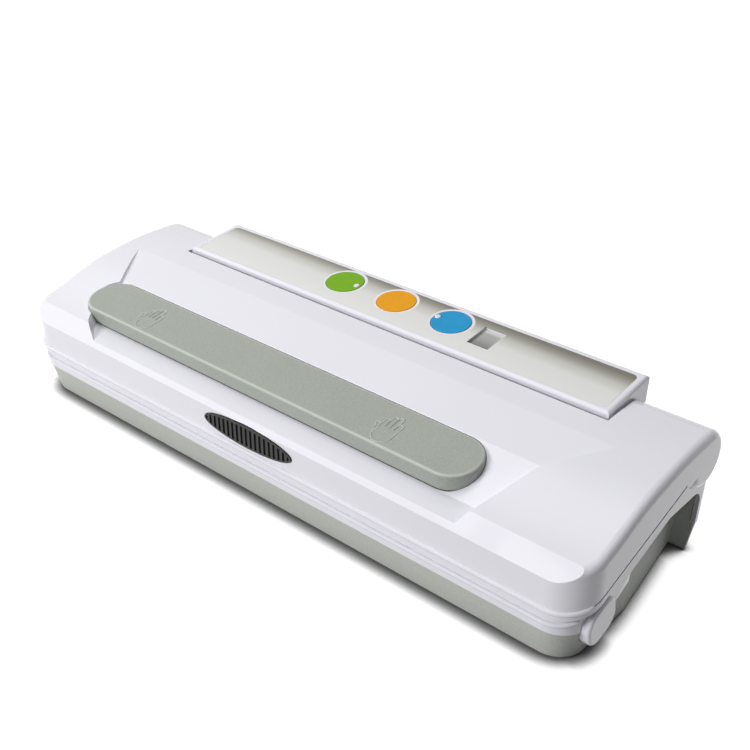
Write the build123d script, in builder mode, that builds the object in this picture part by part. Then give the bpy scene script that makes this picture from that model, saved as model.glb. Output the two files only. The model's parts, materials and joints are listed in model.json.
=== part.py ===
from build123d import *
import os
from math import cos, radians, sin, sqrt, tan

# Countertop vacuum sealer: a grey tray and a white deck carry a rear console and a hinged lid.
# X runs along the machine, -Y is the front, Z is up, and the feet stand on Z = 0. Millimetres.

os.makedirs("parts", exist_ok=True)

# Overall form: the sealing line sets the length
SEAL_LENGTH = 306.0
END_MARGIN = 40.0
LENGTH = SEAL_LENGTH + 2 * END_MARGIN
DEPTH = 132.0
WALL = 2.5
FRONT_Y = -DEPTH / 2
REAR_Y = DEPTH / 2
REACH = LENGTH + DEPTH
FIT = 0.3

# Base: tray below the colour line, deck above it
FOOT_STAND = 1.5
TRAY_HEIGHT = 16.8
JOIN_Z = FOOT_STAND + TRAY_HEIGHT
LID_OVERHANG = 4.0
BASE_LENGTH = LENGTH - 2 * LID_OVERHANG
BASE_SETBACK = 2.6
BASE_FRONT_Y = FRONT_Y + BASE_SETBACK
BASE_DEPTH = REAR_Y - BASE_FRONT_Y
BASE_MID_Y = (REAR_Y + BASE_FRONT_Y) / 2
BASE_CORNER = 15.0
BASE_REAR_CORNER = 7.0
TRAY_STEP = 0.5
TRAY_FRONT_TAPER = 4.5
TRAY_SIDE_TAPER = 2.0
TRAY_REAR_TAPER = 1.0
FLOOR_Z = FOOT_STAND + WALL
UPSTAND_Z = 55.3

# Sloping seam between deck and lid, given by its front point and angle
SEAM_SETBACK = 1.7
SEAM_Y = FRONT_Y + SEAM_SETBACK
SEAM_Z = 26.0
SEAM_ANGLE = 17.2
SEAM_RISE = tan(radians(SEAM_ANGLE))
SEAM_GAP = 0.9
DECK_WALL = 4.0
deck_plane = Plane(
    origin=(0, SEAM_Y, SEAM_Z),
    x_dir=(1, 0, 0),
    z_dir=(0, -sin(radians(SEAM_ANGLE)), cos(radians(SEAM_ANGLE))),
)

# Hinge barrel at the rear of the lid
BARREL_RADIUS = 15.0
HINGE_INSET = 19.0
HINGE_Y = REAR_Y - HINGE_INSET
HINGE_Z = 62.0
SCOOP_GAP = 0.6
PIN_RADIUS = 3.0
PIN_RUNNING_FIT = 0.05
PIN_LENGTH = 24.0
PIN_BOSS_WALL = 3.0

# Console between the two lid wings
CONSOLE_END = 45.0
CONSOLE_LENGTH = LENGTH - 2 * CONSOLE_END
CONSOLE_GAP = 1.2
WING_X = CONSOLE_LENGTH / 2 + CONSOLE_GAP
NOTCH_RADIUS = 27.3
BLOCK_AHEAD = 23.0
BLOCK_Y = HINGE_Y - BLOCK_AHEAD
CONSOLE_WALL_AHEAD = 17.0
CONSOLE_WALL_Y = HINGE_Y - CONSOLE_WALL_AHEAD
CONSOLE_LIP_AHEAD = 20.5
CONSOLE_LIP_Y = HINGE_Y - CONSOLE_LIP_AHEAD
CONSOLE_LIP_Z = 74.5
CONSOLE_ROUND = 2.0
WIRE_WINDOW_MARGIN = 20.0

# Control film and what shows through it
FILM_BORDER = 4.0
FILM_LENGTH = CONSOLE_LENGTH - 2 * FILM_BORDER
FILM_DEPTH = 33.0
FILM_THICK = 0.5
FILM_CORNER = 3.0
FILM_ANGLE = 8.4
FILM_AHEAD = 1.6
FILM_MID_Y = HINGE_Y - FILM_AHEAD
FILM_MID_Z = 81.3
film_plane = Plane(
    origin=(0, FILM_MID_Y, FILM_MID_Z),
    x_dir=(1, 0, 0),
    z_dir=(0, -sin(radians(FILM_ANGLE)), cos(radians(FILM_ANGLE))),
)
KEY_RADIUS = 11.3
KEY_PITCH = 38.5
KEY_ROW_X = -1.4
KEY_ROW_V = 3.2
KEY_PROUD = 0.3
KEY_TRAVEL = 0.6
KEY_SPARE = 0.1
KEY_FLANGE = 1.4
KEY_FLANGE_THICK = 1.0
KEY_STEM_RADIUS = 2.5
KEY_STEM_LENGTH = 1.0
WINDOW_WIDTH = 13.4
WINDOW_DEPTH = 17.6
WINDOW_X = 62.2
WINDOW_V = 1.3
WINDOW_THICK = 1.2
WINDOW_SUNK = 1.5
LIGHT_RADIUS = 1.7
LIGHT_PROUD = 0.6
LIGHT_ROUND = 0.5
LIGHT_OFFSET = 9.0
CONSOLE_TOP_W = -FILM_THICK
CONSOLE_INNER_W = CONSOLE_TOP_W - WALL
KEY_BOTTOM_W = CONSOLE_INNER_W - FIT - KEY_FLANGE_THICK
SWITCH_TOP_W = KEY_BOTTOM_W - KEY_STEM_LENGTH - KEY_TRAVEL - KEY_SPARE
SWITCH_HEIGHT = 3.1
SWITCH_SIZE = 6.0
BOARD_THICK = 1.6
BOARD_TOP_W = SWITCH_TOP_W - SWITCH_HEIGHT
BOARD_LENGTH = 180.0
BOARD_WIDTH = 25.0
BOARD_POST_RADIUS = 2.5
BOARD_POST_X = 80.0
key_x = [KEY_ROW_X - KEY_PITCH, KEY_ROW_X, KEY_ROW_X + KEY_PITCH]

# Lid: top line from the front edge back to the hinge barrel, then the front ledge and the pad
LID_CORNER = 18.0
LID_SIDE_ROUND = 4.0
LID_FRONT_Z = 54.6
LID_SHOULDER_BACK = 0.174 * DEPTH
LID_BROW_BACK = 0.348 * DEPTH
LID_CROWN_BACK = 0.56 * DEPTH
LID_SHOULDER_Z = 60.2
LID_BROW_Z = 68.6
LID_CROWN_Z = 74.4
LID_SHOULDER = (FRONT_Y + LID_SHOULDER_BACK, LID_SHOULDER_Z)
LID_BROW = (FRONT_Y + LID_BROW_BACK, LID_BROW_Z)
LID_CROWN = (FRONT_Y + LID_CROWN_BACK, LID_CROWN_Z)
LID_FRONT_TANGENT = (1.0, 0.15)
BEVEL_LOW_Z = 46.7
BEVEL_DEEP = 8.0
BEVEL_TOP_Z = 56.0
BEAD_HEIGHT = 4.2
BEAD_GROOVE = 1.2
BEAD_REAR_V = 95.0
LEDGE_LEFT_FRONT = 80.0
LEDGE_LEFT_BROW = 46.0
LEDGE_LEFT_CROWN = 32.0
LEDGE_LEFT_BEND = 16.0
LEDGE_RIGHT_FRONT = 71.0
LEDGE_RIGHT_BROW = 63.0
LEDGE_RIGHT_CROWN = 47.0
LEDGE_CORNER = 14.0
LEDGE_BROW_DROP = 1.4
LEDGE_SLANT = 30.0
LEDGE_FRONT_Z = 49.6
LEDGE_REAR_Z = 51.8
PAD_LEFT_END = 30.0
PAD_RIGHT_END = 75.0
PAD_LENGTH = LENGTH - PAD_LEFT_END - PAD_RIGHT_END
PAD_DEPTH = 31.0
PAD_X = (PAD_LEFT_END - PAD_RIGHT_END) / 2
PAD_THICK = 9.5
PAD_SETBACK = 16.5
PAD_FRONT_Y = FRONT_Y + PAD_SETBACK
PAD_LIFT = 0.2
PAD_FRONT_Z = LEDGE_REAR_Z + PAD_LIFT
PAD_ANGLE = 11.5
PAD_ROUND = 1.6
PAD_GAP = 0.3
pad_plane = Plane(
    origin=(PAD_X, PAD_FRONT_Y, PAD_FRONT_Z),
    x_dir=(1, 0, 0),
    z_dir=(0, -sin(radians(PAD_ANGLE)), cos(radians(PAD_ANGLE))),
)

# Ribbed finger grip let into the lid front
GRIP_X = -0.013 * LENGTH
GRIP_HALF_LENGTH = 31.5
GRIP_HALF_HEIGHT = 6.6
GRIP_Z = 40.6
GRIP_THICK = 2.4
GRIP_PROUD = 0.8
GRIP_RIBS = 19
GRIP_GROOVE = 1.7
GRIP_GROOVE_DEEP = 0.9
GRIP_RIM = 1.2
front_lean = (FRONT_Y - SEAM_Y) / (LID_FRONT_Z - SEAM_Z)
grip_plane = Plane(
    origin=(GRIP_X, SEAM_Y + front_lean * (GRIP_Z - SEAM_Z), GRIP_Z),
    x_dir=(1, 0, 0),
    z_dir=(0, -1, front_lean),
)

# Hand-hold arch at each end of the base
ARCH_FRONT_Y = -24.0
ARCH_REAR_Y = 57.0
ARCH_TOP_Z = 40.0
ARCH_FLAT_Y = 22.0
ARCH_KNEE_Y = -15.0
ARCH_KNEE_Z = 27.0
ARCH_ROUND = 9.0
ARCH_DEEP = 11.5

# Vacuum trough and sealing line, measured up the deck slope from the seam's front edge
SEAL_V = 15.0
SEAL_WIDTH = 9.0
SEAL_DEEP = 6.0
STRIP_WIDTH = 5.0
STRIP_THICK = 0.2
SHEET_WIDTH = 16.0
SHEET_THICK = 0.15
TROUGH_V = 52.0
TROUGH_END = 3.0
TROUGH_LENGTH = SEAL_LENGTH - 2 * TROUGH_END
TROUGH_WIDTH = 32.0
TROUGH_DEEP = 12.0
TROUGH_ROUND = 8.0
GASKET_MARGIN = 3.0
GASKET_WIDTH = 6.0
GASKET_DEEP = 2.0
GASKET_PROUD = 0.9
LINER_W = 3.0
LINER_THICK = 2.0
CHAMBER_HIGH = 8.0
LID_GASKET_GAP = 0.4
PRESS_STRIP_GAP = 0.4

# Latches and release buttons
HOOK_V = 22.0
HOOK_WIDTH = 8.0
HOOK_THICK = 3.0
HOOK_DROP = 12.0
HOOK_BARB = 2.5
HOOK_SLOT_GAP = 2.0
BUTTON_Y = -41.0
BUTTON_Z = 19.0
BUTTON_WIDTH = 23.0
BUTTON_HEIGHT = 19.5
BUTTON_CORNER = 8.0
BUTTON_PROUD = 3.5
BUTTON_CROWN = 1.6
BUTTON_FLANGE = 1.5
BUTTON_FLANGE_THICK = 2.0
BUTTON_GAP = 0.4
BUTTON_TRAVEL = 3.0
CATCH_LENGTH = 12.0
CATCH_THICK = 3.0
CATCH_GAP = 1.2
FLANGE_CLEAR = 1.5
FLANGE_X = BASE_LENGTH / 2 - WALL - TRAY_SIDE_TAPER - FLANGE_CLEAR
hook_low_v = HOOK_V - HOOK_WIDTH / 2
CATCH_Z = deck_plane.from_local_coords((0, hook_low_v, -HOOK_DROP)).Z - CATCH_GAP
SPRING_RADIUS = 3.2
SPRING_WIRE = 0.8
SPRING_LENGTH = 12.0
SPRING_POST_THICK = 2.5
SPRING_Z = CATCH_Z - CATCH_THICK - FIT - SPRING_RADIUS
SPRING_POST_X = FLANGE_X - BUTTON_FLANGE_THICK - SPRING_LENGTH
CATCH_BITE = 1.0
catch_tip_x = FLANGE_X - BUTTON_FLANGE_THICK - CATCH_LENGTH
HOOK_X = catch_tip_x + CATCH_BITE - HOOK_BARB - HOOK_THICK / 2

# Fixings, feet and inner machinery
SCREW_RADIUS = 1.5
SCREW_HEAD_RADIUS = 3.0
SCREW_HEAD_THICK = 2.2
DRIVE_WIDTH = 0.9
DRIVE_DEEP = 1.2
SCREW_LENGTH = 14.0
SCREW_FIT = 0.1
POST_RADIUS = 4.5
POST_HEIGHT = 6.5
SCREW_X = 0.317 * BASE_LENGTH
SCREW_FRONT_INSET = 12.0
SCREW_FRONT_Y = BASE_FRONT_Y + SCREW_FRONT_INSET
SCREW_REAR_INSET = 10.0
SCREW_REAR_Y = REAR_Y - SCREW_REAR_INSET
LINER_SCREW_INSET = 28.0
LINER_SCREW_X = LENGTH / 2 - LINER_SCREW_INSET
LINER_SCREW_V = (HOOK_V + HOOK_WIDTH + HOOK_SLOT_GAP, TROUGH_V + HOOK_V)
LINER_REAR_V = (HINGE_Y - NOTCH_RADIUS - 2 * WALL - SEAM_Y) / cos(radians(SEAM_ANGLE))
FOOT_RADIUS = 7.0
FOOT_RECESS = 1.0
FOOT_CHAMFER = 0.6
FOOT_END = 31.0
FOOT_INSET = 19.0
FOOT_X = BASE_LENGTH / 2 - FOOT_END
FOOT_FRONT_Y = BASE_FRONT_Y + FOOT_INSET
FOOT_REAR_Y = REAR_Y - FOOT_INSET
VENT_SLOTS = 9
VENT_PITCH = 8.0
VENT_LENGTH = 30.0
VENT_WIDTH = 3.0
VENT_X = 0.238 * BASE_LENGTH
VENT_Y = 26.0
GLAND_INSET = 8.0
GLAND_X = GLAND_INSET - CONSOLE_LENGTH / 2
GLAND_BORE = 3.3
GLAND_RADIUS = 5.0
GLAND_LIP = 1.4
GLAND_LENGTH = 9.0
GLAND_Z = FLOOR_Z + GLAND_RADIUS + GLAND_LIP + FIT
PUMP_X = 0.259 * BASE_LENGTH
PUMP_Y = 36.0
PUMP_SIZE = 32.0
MOTOR_RADIUS = 14.0
MOTOR_LENGTH = 46.0
MOTOR_ROUND = 2.0
HOSE_RADIUS = 3.5
HOSE_BORE = 2.0
HOSE_V = 60.0
HOSE_DROP = 12.0
HOSE_BEND = 7.0
TRANSFORMER_X = -0.243 * BASE_LENGTH
TRANSFORMER_Y = 34.0
CORE_LENGTH = 50.0
CORE_DEPTH = 22.0
CORE_HEIGHT = 38.0
COIL_LENGTH = 30.0
COIL_DEPTH = 38.0
COIL_HEIGHT = 26.0
POWER_BOARD_X = -12.0
POWER_BOARD_Y = 29.0
POWER_BOARD_LENGTH = 80.0
POWER_BOARD_WIDTH = 38.0
POWER_BOARD_POST = 5.0
RELAY_SIZE = 15.0

SIDES = {"left": -1, "right": 1}


def save(builder, name):
    """Label the finished piece and write it as one STEP file."""
    builder.part.label = name
    export_step(builder.part, f"parts/{name}.step")


def seam_z(y, lowered=0.0):
    """Height of the seam plane at y, lowered square to the plane."""
    return SEAM_Z + (y - SEAM_Y) * SEAM_RISE - lowered / cos(radians(SEAM_ANGLE))


def above_seam(lowered, rear_y):
    """Side section of everything above the seam plane, forward of rear_y."""
    front_y = FRONT_Y - DEPTH
    with BuildSketch(Plane.YZ.offset(-REACH)) as section:
        with BuildLine():
            Polyline(
                (front_y, seam_z(front_y, lowered)),
                (rear_y, seam_z(rear_y, lowered)),
                (rear_y, REACH),
                (front_y, REACH),
                close=True,
            )
        make_face()
    return section.sketch


def wing_clearance(lowered, scoop, inner_x, side):
    """Side section of the room that a lid wing and its barrel take, at one end of the base."""
    plane = Plane.YZ.offset(side * inner_x)
    with BuildSketch(plane) as section:
        with BuildLine():
            Polyline(
                (BLOCK_Y - WALL, seam_z(BLOCK_Y - WALL, lowered)),
                (HINGE_Y, seam_z(HINGE_Y, lowered)),
                (HINGE_Y, REACH),
                (BLOCK_Y - WALL, REACH),
                close=True,
            )
        make_face()
        with Locations((HINGE_Y, HINGE_Z)):
            Circle(scoop)
    return section.sketch


def base_plan(z, inset, front=0.0, side=0.0, rear=0.0):
    """Plan outline of the base at height z, drawn in all round and then at each face."""
    depth = BASE_DEPTH - 2 * inset - front - rear
    with BuildSketch(Plane.XY.offset(z)) as outline:
        with Locations((0, BASE_MID_Y + (front - rear) / 2)):
            Rectangle(BASE_LENGTH - 2 * inset - 2 * side, depth)
        fillet(outline.vertices().group_by(Axis.Y)[0], BASE_CORNER - inset)
        fillet(outline.vertices().group_by(Axis.Y)[-1], BASE_REAR_CORNER - inset)
    return outline.sketch


def deck_box(length, width, v, bottom, top, x=0.0, corner=0.0):
    """A block on the deck slope, between two heights square to it."""
    with BuildPart() as block:
        with BuildSketch(deck_plane.offset(bottom)):
            with Locations((x, v)):
                if corner:
                    RectangleRounded(length, width, corner)
                else:
                    Rectangle(length, width)
        extrude(amount=top - bottom)
    return block.part


def gasket_ring(bottom, top, margin):
    """A foam ring round the vacuum trough, margin clear of its edge on both sides."""
    grow = GASKET_MARGIN + margin
    thick = GASKET_WIDTH - 2 * margin
    with BuildPart() as ring:
        with BuildSketch(deck_plane.offset(bottom)):
            with Locations((0, TROUGH_V)):
                RectangleRounded(
                    TROUGH_LENGTH + 2 * (grow + thick),
                    TROUGH_WIDTH + 2 * (grow + thick),
                    TROUGH_ROUND + grow + thick,
                )
                RectangleRounded(
                    TROUGH_LENGTH + 2 * grow,
                    TROUGH_WIDTH + 2 * grow,
                    TROUGH_ROUND + grow,
                    mode=Mode.SUBTRACT,
                )
        extrude(amount=top - bottom)
    return ring.part


def arch_room(side):
    """The wedge of open room under one hand-hold arch."""
    outer_x = BASE_LENGTH / 2
    with BuildPart() as room:
        with BuildSketch(Plane.YZ.offset(side * (outer_x - 2 * ARCH_DEEP))) as arch:
            with BuildLine():
                Polyline(
                    (ARCH_FRONT_Y, -WALL),
                    (ARCH_FRONT_Y, JOIN_Z),
                    (ARCH_KNEE_Y, ARCH_KNEE_Z),
                    (ARCH_FLAT_Y, ARCH_TOP_Z),
                    (ARCH_REAR_Y, ARCH_TOP_Z),
                    (ARCH_REAR_Y, -WALL),
                    close=True,
                )
            make_face()
            fillet(arch.vertices().group_by(Axis.Y)[-1], ARCH_ROUND)
        extrude(amount=side * 3 * ARCH_DEEP)
        with BuildSketch(Plane.XY.offset(-WALL)):
            with BuildLine():
                Polyline(
                    (side * outer_x, ARCH_FRONT_Y),
                    (side * (outer_x - ARCH_DEEP), ARCH_REAR_Y),
                    (side * (outer_x + ARCH_DEEP), ARCH_REAR_Y),
                    (side * (outer_x + ARCH_DEEP), ARCH_FRONT_Y),
                    close=True,
                )
            make_face()
        extrude(amount=ARCH_TOP_Z + 2 * WALL, mode=Mode.INTERSECT)
    return room.part


def arch_lining(side):
    """Grey wall block behind one arch, one wall larger than the room it lines."""
    outer_x = BASE_LENGTH / 2 - WALL - FIT
    inner_x = BASE_LENGTH / 2 - ARCH_DEEP - WALL
    lean = ARCH_DEEP / (ARCH_REAR_Y - ARCH_FRONT_Y)
    front_y = ARCH_FRONT_Y + FIT / lean
    with BuildPart() as lining:
        with BuildSketch(Plane.YZ.offset(side * (inner_x - WALL))) as arch:
            with BuildLine():
                Polyline(
                    (ARCH_FRONT_Y - WALL, FOOT_STAND),
                    (ARCH_FRONT_Y - WALL, JOIN_Z + WALL),
                    (ARCH_KNEE_Y - WALL, ARCH_KNEE_Z + WALL),
                    (ARCH_FLAT_Y - WALL / 2, ARCH_TOP_Z + WALL),
                    (ARCH_REAR_Y + WALL, ARCH_TOP_Z + WALL),
                    (ARCH_REAR_Y + WALL, FOOT_STAND),
                    close=True,
                )
            make_face()
            fillet(arch.vertices().group_by(Axis.Y)[-1], ARCH_ROUND + WALL)
        extrude(amount=side * (outer_x - inner_x + WALL))
        with BuildSketch(Plane.XY):
            with BuildLine():
                Polyline(
                    (side * outer_x, front_y),
                    (side * (inner_x - lean * WALL), ARCH_REAR_Y + WALL),
                    (side * outer_x, ARCH_REAR_Y + WALL),
                    close=True,
                )
            make_face()
        extrude(amount=UPSTAND_Z, mode=Mode.INTERSECT)
    return lining.part


def button_outline(side, grow, x):
    """Release button outline on a plane square to X, its top edge along the seam."""
    with BuildSketch(Plane.YZ.offset(side * x)) as outline:
        with Locations((BUTTON_Y, BUTTON_Z)):
            RectangleRounded(
                BUTTON_WIDTH + 2 * grow,
                BUTTON_HEIGHT + 2 * grow,
                BUTTON_CORNER + grow,
                rotation=SEAM_ANGLE,
            )
    return outline.sketch


def button_hole(side):
    """The hole that a release button slides in, and behind it the room for its flange."""
    flange_run = BUTTON_FLANGE_THICK + BUTTON_TRAVEL + 2 * FIT
    with BuildPart() as hole:
        extrude(button_outline(side, BUTTON_GAP, FLANGE_X), amount=side * REACH)
        extrude(button_outline(side, BUTTON_FLANGE + FIT, FLANGE_X + FIT), amount=-side * flange_run)
    return hole.part


def lid_section(inset, drop, half_length):
    """Side section of the lid, drawn in by inset, with its seam edge moved by drop."""
    radius = BARREL_RADIUS - inset
    offset_z = seam_z(HINGE_Y) + drop - HINGE_Z
    slope_term = 1 + SEAM_RISE**2
    mix_term = offset_z * SEAM_RISE
    reach_y = (mix_term + sqrt(mix_term**2 - slope_term * (offset_z**2 - radius**2))) / slope_term
    seam_end = (HINGE_Y - reach_y, HINGE_Z + offset_z - SEAM_RISE * reach_y)
    seam_front = (SEAM_Y + inset, seam_z(SEAM_Y + inset) + drop)
    top_front = (FRONT_Y + inset, LID_FRONT_Z - inset)
    with BuildSketch(Plane.YZ.offset(-half_length)) as section:
        with BuildLine():
            Line(seam_front, top_front)
            Spline(
                top_front,
                (LID_SHOULDER[0], LID_SHOULDER[1] - inset),
                (LID_BROW[0], LID_BROW[1] - inset),
                (LID_CROWN[0], LID_CROWN[1] - inset),
                (HINGE_Y, HINGE_Z + radius),
                tangents=(LID_FRONT_TANGENT, (1, 0)),
            )
            barrel_low = (HINGE_Y, HINGE_Z - radius)
            ThreePointArc((HINGE_Y, HINGE_Z + radius), (HINGE_Y + radius, HINGE_Z), barrel_low)
            RadiusArc(barrel_low, seam_end, radius)
            Line(seam_end, seam_front)
        make_face()
    return section.sketch


def bevel_room(inset):
    """Everything beyond the slanting face that breaks the lid's front top edge."""
    rise = (BEVEL_TOP_Z - BEVEL_LOW_Z) / BEVEL_DEEP
    low_z = BEVEL_LOW_Z - inset * sqrt(1 + rise**2)
    front_y = FRONT_Y - BEVEL_DEEP
    rear_y = FRONT_Y + 3 * BEVEL_DEEP
    with BuildPart() as room:
        with BuildSketch(Plane.YZ.offset(-REACH)):
            with BuildLine():
                Polyline(
                    (front_y, low_z - rise * BEVEL_DEEP),
                    (rear_y, low_z + 3 * rise * BEVEL_DEEP),
                    (front_y, low_z + 3 * rise * BEVEL_DEEP),
                    close=True,
                )
            make_face()
        extrude(amount=2 * REACH)
    return room.part


def lid_form(inset, drop):
    """The lid as a solid, with round front corners, a bevelled front and soft side edges."""
    half_length = LENGTH / 2 - inset
    with BuildPart() as form:
        extrude(lid_section(inset, drop, half_length), amount=2 * half_length)
        front = form.faces().filter_by(GeomType.PLANE).sort_by(Axis.Y)[0]
        fillet(front.edges().filter_by(Axis.X, reverse=True), LID_CORNER - inset)
        add(bevel_room(inset), mode=Mode.SUBTRACT)
        top = form.faces().filter_by(GeomType.PLANE, reverse=True).sort_by(Axis.Z)[-1]
        rim = [edge for edge in top.edges() if abs(edge.center().X) > half_length / 2]
        fillet(rim, LID_SIDE_ROUND - inset)
    return form.part


def ledge_room(lowered, grow):
    """Room above the ledge that runs along the lid front, up to the brow behind the pad."""
    front_y = FRONT_Y - BARREL_RADIUS
    floor_z = LEDGE_FRONT_Z - lowered
    with BuildPart() as room:
        with BuildSketch(Plane.YZ.offset(-REACH)):
            with BuildLine():
                Polyline(
                    (front_y - BARREL_RADIUS, floor_z),
                    (FRONT_Y, floor_z),
                    (PAD_FRONT_Y, LEDGE_REAR_Z - lowered),
                    (LID_BROW[0], LID_BROW_Z - LEDGE_BROW_DROP - lowered),
                    (LID_CROWN[0], LID_CROWN_Z - lowered),
                    (LID_CROWN[0], REACH),
                    (front_y - BARREL_RADIUS, REACH),
                    close=True,
                )
            make_face()
        extrude(amount=2 * REACH)
        with BuildSketch(Plane.XY.offset(floor_z)) as outline:
            bend = (LEDGE_LEFT_BROW - LENGTH / 2, FRONT_Y + LEDGE_LEFT_BEND)
            with BuildLine():
                Polyline(
                    (LEDGE_LEFT_FRONT - LENGTH / 2, front_y),
                    bend,
                    (LEDGE_LEFT_BROW - LENGTH / 2, LID_BROW[0]),
                    (LEDGE_LEFT_CROWN - LENGTH / 2, LID_CROWN[0]),
                    (LENGTH / 2 - LEDGE_RIGHT_CROWN, LID_CROWN[0]),
                    (LENGTH / 2 - LEDGE_RIGHT_BROW, LID_BROW[0]),
                    (LENGTH / 2 - LEDGE_RIGHT_FRONT, front_y),
                    close=True,
                )
            make_face()
            fillet(outline.vertices().sort_by_distance((*bend, floor_z))[0], LEDGE_CORNER)
            if grow:
                offset(amount=grow)
        extrude(amount=BARREL_RADIUS + LID_CORNER, taper=-LEDGE_SLANT, mode=Mode.INTERSECT)
    return room.part


def bead_groove():
    """A shallow line cut round the lid's front and sides, above its bottom edge."""
    with BuildPart() as groove:
        with BuildSketch(deck_plane.offset(BEAD_HEIGHT)):
            with Locations((0, BEAD_REAR_V)):
                Rectangle(2 * LENGTH, 2 * DEPTH, align=(Align.CENTER, Align.MAX))
        extrude(amount=BEAD_GROOVE)
        add(lid_form(BEAD_GROOVE, -WALL), mode=Mode.SUBTRACT)
    return groove.part


def pad_slab(bottom, top, grow):
    """A stadium block on the pad slope, between two heights square to it."""
    with BuildPart() as slab:
        with BuildSketch(pad_plane.offset(bottom)):
            with Locations((0, PAD_DEPTH / 2)):
                SlotOverall(PAD_LENGTH + 2 * grow, PAD_DEPTH + 2 * grow)
        extrude(amount=top - bottom)
    return slab.part


def notch_room(radius, half_length):
    """Room that the console needs between the lid wings, swept round the hinge."""
    with BuildPart() as room:
        with BuildSketch(Plane.YZ.offset(-half_length)):
            with Locations((HINGE_Y, HINGE_Z)):
                Circle(radius)
            with Locations((HINGE_Y, HINGE_Z - REACH / 2)):
                Rectangle(REACH, REACH, align=(Align.MIN, Align.MIN))
        extrude(amount=2 * half_length)
    return room.part


def hinge_rod(radius, side, start_x, length):
    """A round bar on the hinge axis, from start_x outward on one side."""
    with BuildPart() as rod:
        with BuildSketch(Plane.YZ.offset(side * start_x)):
            with Locations((HINGE_Y, HINGE_Z)):
                Circle(radius)
        extrude(amount=side * length)
    return rod.part


def grip_oval(grow):
    """Oval outline of the finger grip on the leaning lid front."""
    with BuildSketch(grip_plane) as outline:
        Ellipse(GRIP_HALF_LENGTH + grow, GRIP_HALF_HEIGHT + grow)
    return outline.sketch


def film_disc(radius, x, bottom, top):
    """A round on the film slope, between two heights square to it."""
    with BuildPart() as disc:
        with BuildSketch(film_plane.offset(bottom)):
            with Locations((x, KEY_ROW_V)):
                Circle(radius)
        extrude(amount=top - bottom)
    return disc.part


def film_block(length, width, x, v, bottom, top):
    """A block on the film slope, between two heights square to it."""
    with BuildPart() as block:
        with BuildSketch(film_plane.offset(bottom)):
            with Locations((x, v)):
                Rectangle(length, width)
        extrude(amount=top - bottom)
    return block.part


def film_z(y):
    """Height of the console top at y."""
    return FILM_MID_Z + (y - FILM_MID_Y) * tan(radians(FILM_ANGLE))


# Base

screw_spots = [(x, y) for x in (-SCREW_X, 0, SCREW_X) for y in (SCREW_FRONT_Y, SCREW_REAR_Y)]
foot_spots = [(x, y) for x in (-FOOT_X, FOOT_X) for y in (FOOT_FRONT_Y, FOOT_REAR_Y)]
board_post_x = POWER_BOARD_LENGTH / 2 - POST_RADIUS
board_post_y = POWER_BOARD_WIDTH / 2 - POST_RADIUS

with BuildPart() as base_tray:
    loft(
        [
            base_plan(FOOT_STAND, TRAY_STEP, TRAY_FRONT_TAPER, TRAY_SIDE_TAPER, TRAY_REAR_TAPER),
            base_plan(JOIN_Z, TRAY_STEP),
        ],
        ruled=True,
    )
    loft(
        [
            base_plan(FLOOR_Z, TRAY_STEP + WALL, TRAY_FRONT_TAPER, TRAY_SIDE_TAPER, TRAY_REAR_TAPER),
            base_plan(JOIN_Z + FIT, TRAY_STEP + WALL),
        ],
        ruled=True,
        mode=Mode.SUBTRACT,
    )
    with BuildSketch(Plane.XY.offset(FOOT_STAND)):
        with Locations(*screw_spots):
            Circle(POST_RADIUS)
    extrude(amount=POST_HEIGHT)
    with BuildSketch(Plane.XY.offset(FOOT_STAND)):
        with Locations((POWER_BOARD_X, POWER_BOARD_Y)):
            with GridLocations(2 * board_post_x, 2 * board_post_y, 2, 2):
                Circle(POST_RADIUS / 2)
    extrude(amount=WALL + POWER_BOARD_POST)
    for side in SIDES.values():
        add(arch_lining(side))
        add(arch_room(side), mode=Mode.SUBTRACT)
        add(button_hole(side), mode=Mode.SUBTRACT)
        with BuildSketch(Plane.XY.offset(FOOT_STAND)):
            with Locations((side * (SPRING_POST_X - SPRING_POST_THICK / 2), BUTTON_Y)):
                Rectangle(SPRING_POST_THICK, 4 * SPRING_RADIUS)
        extrude(amount=CATCH_Z - CATCH_THICK - FIT - FOOT_STAND)
    with BuildSketch(Plane.XY.offset(FOOT_STAND)):
        with Locations(*screw_spots):
            Circle(SCREW_HEAD_RADIUS + FIT)
    extrude(amount=POST_HEIGHT - WALL, mode=Mode.SUBTRACT)
    with BuildSketch(Plane.XY.offset(FOOT_STAND)):
        with Locations(*screw_spots):
            Circle(SCREW_RADIUS + SCREW_FIT)
    extrude(amount=POST_HEIGHT, mode=Mode.SUBTRACT)
    with BuildSketch(Plane.XY.offset(FOOT_STAND)):
        with Locations(*foot_spots):
            Circle(FOOT_RADIUS + FIT)
    extrude(amount=FOOT_RECESS, mode=Mode.SUBTRACT)
    with BuildSketch(Plane.XY.offset(FOOT_STAND)):
        with Locations((VENT_X, VENT_Y)):
            with GridLocations(VENT_PITCH, 0, VENT_SLOTS, 1):
                SlotOverall(VENT_LENGTH, VENT_WIDTH, rotation=90)
    extrude(amount=WALL, mode=Mode.SUBTRACT)
    with BuildSketch(Plane.XZ.offset(-REAR_Y)):
        with Locations((GLAND_X, GLAND_Z)):
            Circle(GLAND_RADIUS + SCREW_FIT)
    extrude(amount=2 * WALL, mode=Mode.SUBTRACT)
save(base_tray, "base_tray")

with BuildPart() as rubber_feet:
    with BuildSketch():
        with Locations(*foot_spots):
            Circle(FOOT_RADIUS)
    extrude(amount=FOOT_STAND + FOOT_RECESS)
    chamfer(rubber_feet.edges().group_by(Axis.Z)[0], FOOT_CHAMFER)
save(rubber_feet, "rubber_feet")

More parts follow.
